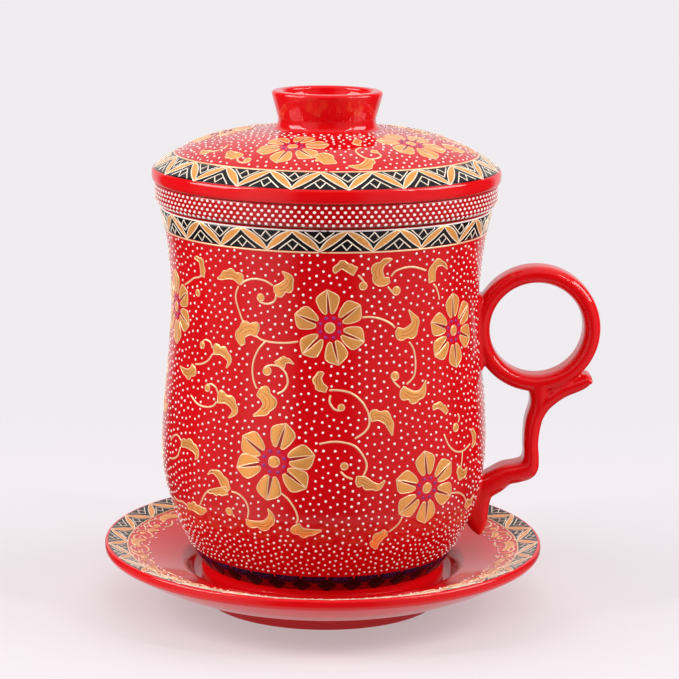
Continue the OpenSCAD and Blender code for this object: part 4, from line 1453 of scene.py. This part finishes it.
def fade(add, value, near, far, start=0.0):
    """A share that grows smoothly from a start to 1 while the value goes from near to far."""
    ends = {"Value": value, "From Min": near, "From Max": far, "To Min": start}
    return add("ShaderNodeMapRange", ends, interpolation_type="SMOOTHSTEP").outputs[0]


def pale_sheet():
    """The sheet's material: cloth with a glow of its own, and the room in what mirrors it."""
    sheet = bpy.data.materials.new("pale_sheet")
    sheet.use_nodes = True
    sheet.node_tree.nodes.clear()
    add = nodes_of(sheet.node_tree)
    place = add("ShaderNodeTexCoord").outputs["Object"]
    path = add("ShaderNodeLightPath").outputs
    away = add("ShaderNodeVectorMath", {0: place}, operation="LENGTH").outputs["Value"]
    glow_share = fade(add, away, glow_near * MM, glow_far * MM, SHEET_LIT)
    past_saucer = fade(add, away, mirror_near * MM, mirror_far * MM)
    cloth = add("ShaderNodeBsdfDiffuse", {"Color": (*SHEET_CLOTH, 1)}).outputs[0]
    glow = add("ShaderNodeEmission", {"Color": (*SHEET_PALE, 1)}).outputs[0]
    table = add("ShaderNodeMixShader", {0: glow_share, 1: cloth, 2: glow}).outputs[0]
    around = add("ShaderNodeGroup", {"Way": place}, node_tree=surroundings).outputs["Level"]
    room = add("ShaderNodeEmission", {"Color": (*SHEET_PALE, 1), "Strength": around}).outputs[0]
    mirrored = add("ShaderNodeMixShader", {0: past_saucer, 1: table, 2: room}).outputs[0]
    seen = add("ShaderNodeMixShader", {0: path["Is Glossy Ray"], 1: table, 2: mirrored}).outputs[0]
    bounce = add("ShaderNodeMixShader", {0: SHEET_BOUNCE, 1: cloth, 2: glow}).outputs[0]
    lit = add("ShaderNodeMixShader", {0: path["Is Diffuse Ray"], 1: seen, 2: bounce}).outputs[0]
    add("ShaderNodeOutputMaterial", {"Surface": lit})
    return sheet


floor_half = 3000
corners = [(x * floor_half, y * floor_half, 0) for x, y in ((-1, -1), (1, -1), (1, 1), (-1, 1))]
mesh_object("floor", corners, [(0, 1, 2, 3)], [pale_sheet()])

TENT_LEVEL = 0.7  # brightness of the white tent overhead
world = bpy.data.worlds.new("studio")
bpy.context.scene.world = world
world.use_nodes = True
world.node_tree.nodes.clear()
add = nodes_of(world.node_tree)
way = add("ShaderNodeTexCoord").outputs["Generated"]
around = add("ShaderNodeGroup", {"Way": way}, node_tree=surroundings).outputs["Level"]
overhead = fade(add, add("ShaderNodeSeparateXYZ", {0: way}).outputs["Z"], 0.5, 0.9)
tent = add("ShaderNodeMix", {0: overhead, 2: around, 3: TENT_LEVEL}).outputs[0]
path = add("ShaderNodeLightPath").outputs
level = add("ShaderNodeMix", {0: path["Is Camera Ray"], 2: tent, 3: 1.0}).outputs[0]
light = add("ShaderNodeBackground", {"Color": (*SHEET_PALE, 1), "Strength": level}).outputs[0]
add("ShaderNodeOutputWorld", {"Surface": light})


PANEL_AIM = Vector((0, 0, 70 * MM))  # the middle of the mug, which every lamp faces


def panel(name, bearing, rise, distance, width, height, brightness):
    """A lamp that faces the mug from a bearing right of the camera and a rise, in degrees."""
    lamp = bpy.data.objects.new(name, bpy.data.lights.new(name, "AREA"))
    lamp.data.shape = "RECTANGLE"
    lamp.data.size, lamp.data.size_y = width * MM, height * MM
    lamp.data.energy = brightness * math.pi * lamp.data.size * lamp.data.size_y
    bpy.context.scene.collection.objects.link(lamp)
    around, up = math.radians(bearing), math.radians(rise)
    way = Vector((math.sin(around) * math.cos(up), -math.cos(around) * math.cos(up), math.sin(up)))
    lamp.location = way * distance * MM + PANEL_AIM
    lamp.rotation_mode = "QUATERNION"
    lamp.rotation_quaternion = way.to_track_quat("Z", "Y")
    return lamp


panel("left_panel", bearing=-82, rise=28, distance=800, width=460, height=360, brightness=7.4)
panel("right_panel", bearing=86, rise=30, distance=800, width=460, height=360, brightness=6.8)
panel("left_strip", bearing=-62, rise=40, distance=800, width=40, height=400, brightness=26)
panel("right_strip", bearing=60, rise=42, distance=800, width=40, height=400, brightness=26)
back_panel = panel("back_panel", bearing=180, rise=46, distance=900, width=700, height=400, brightness=1.7)
front_panel = panel("front_panel", bearing=4, rise=46, distance=900, width=500, height=400, brightness=2.75)
back_panel.visible_glossy = front_panel.visible_glossy = False

bpy.context.scene.view_settings.view_transform = "Standard"
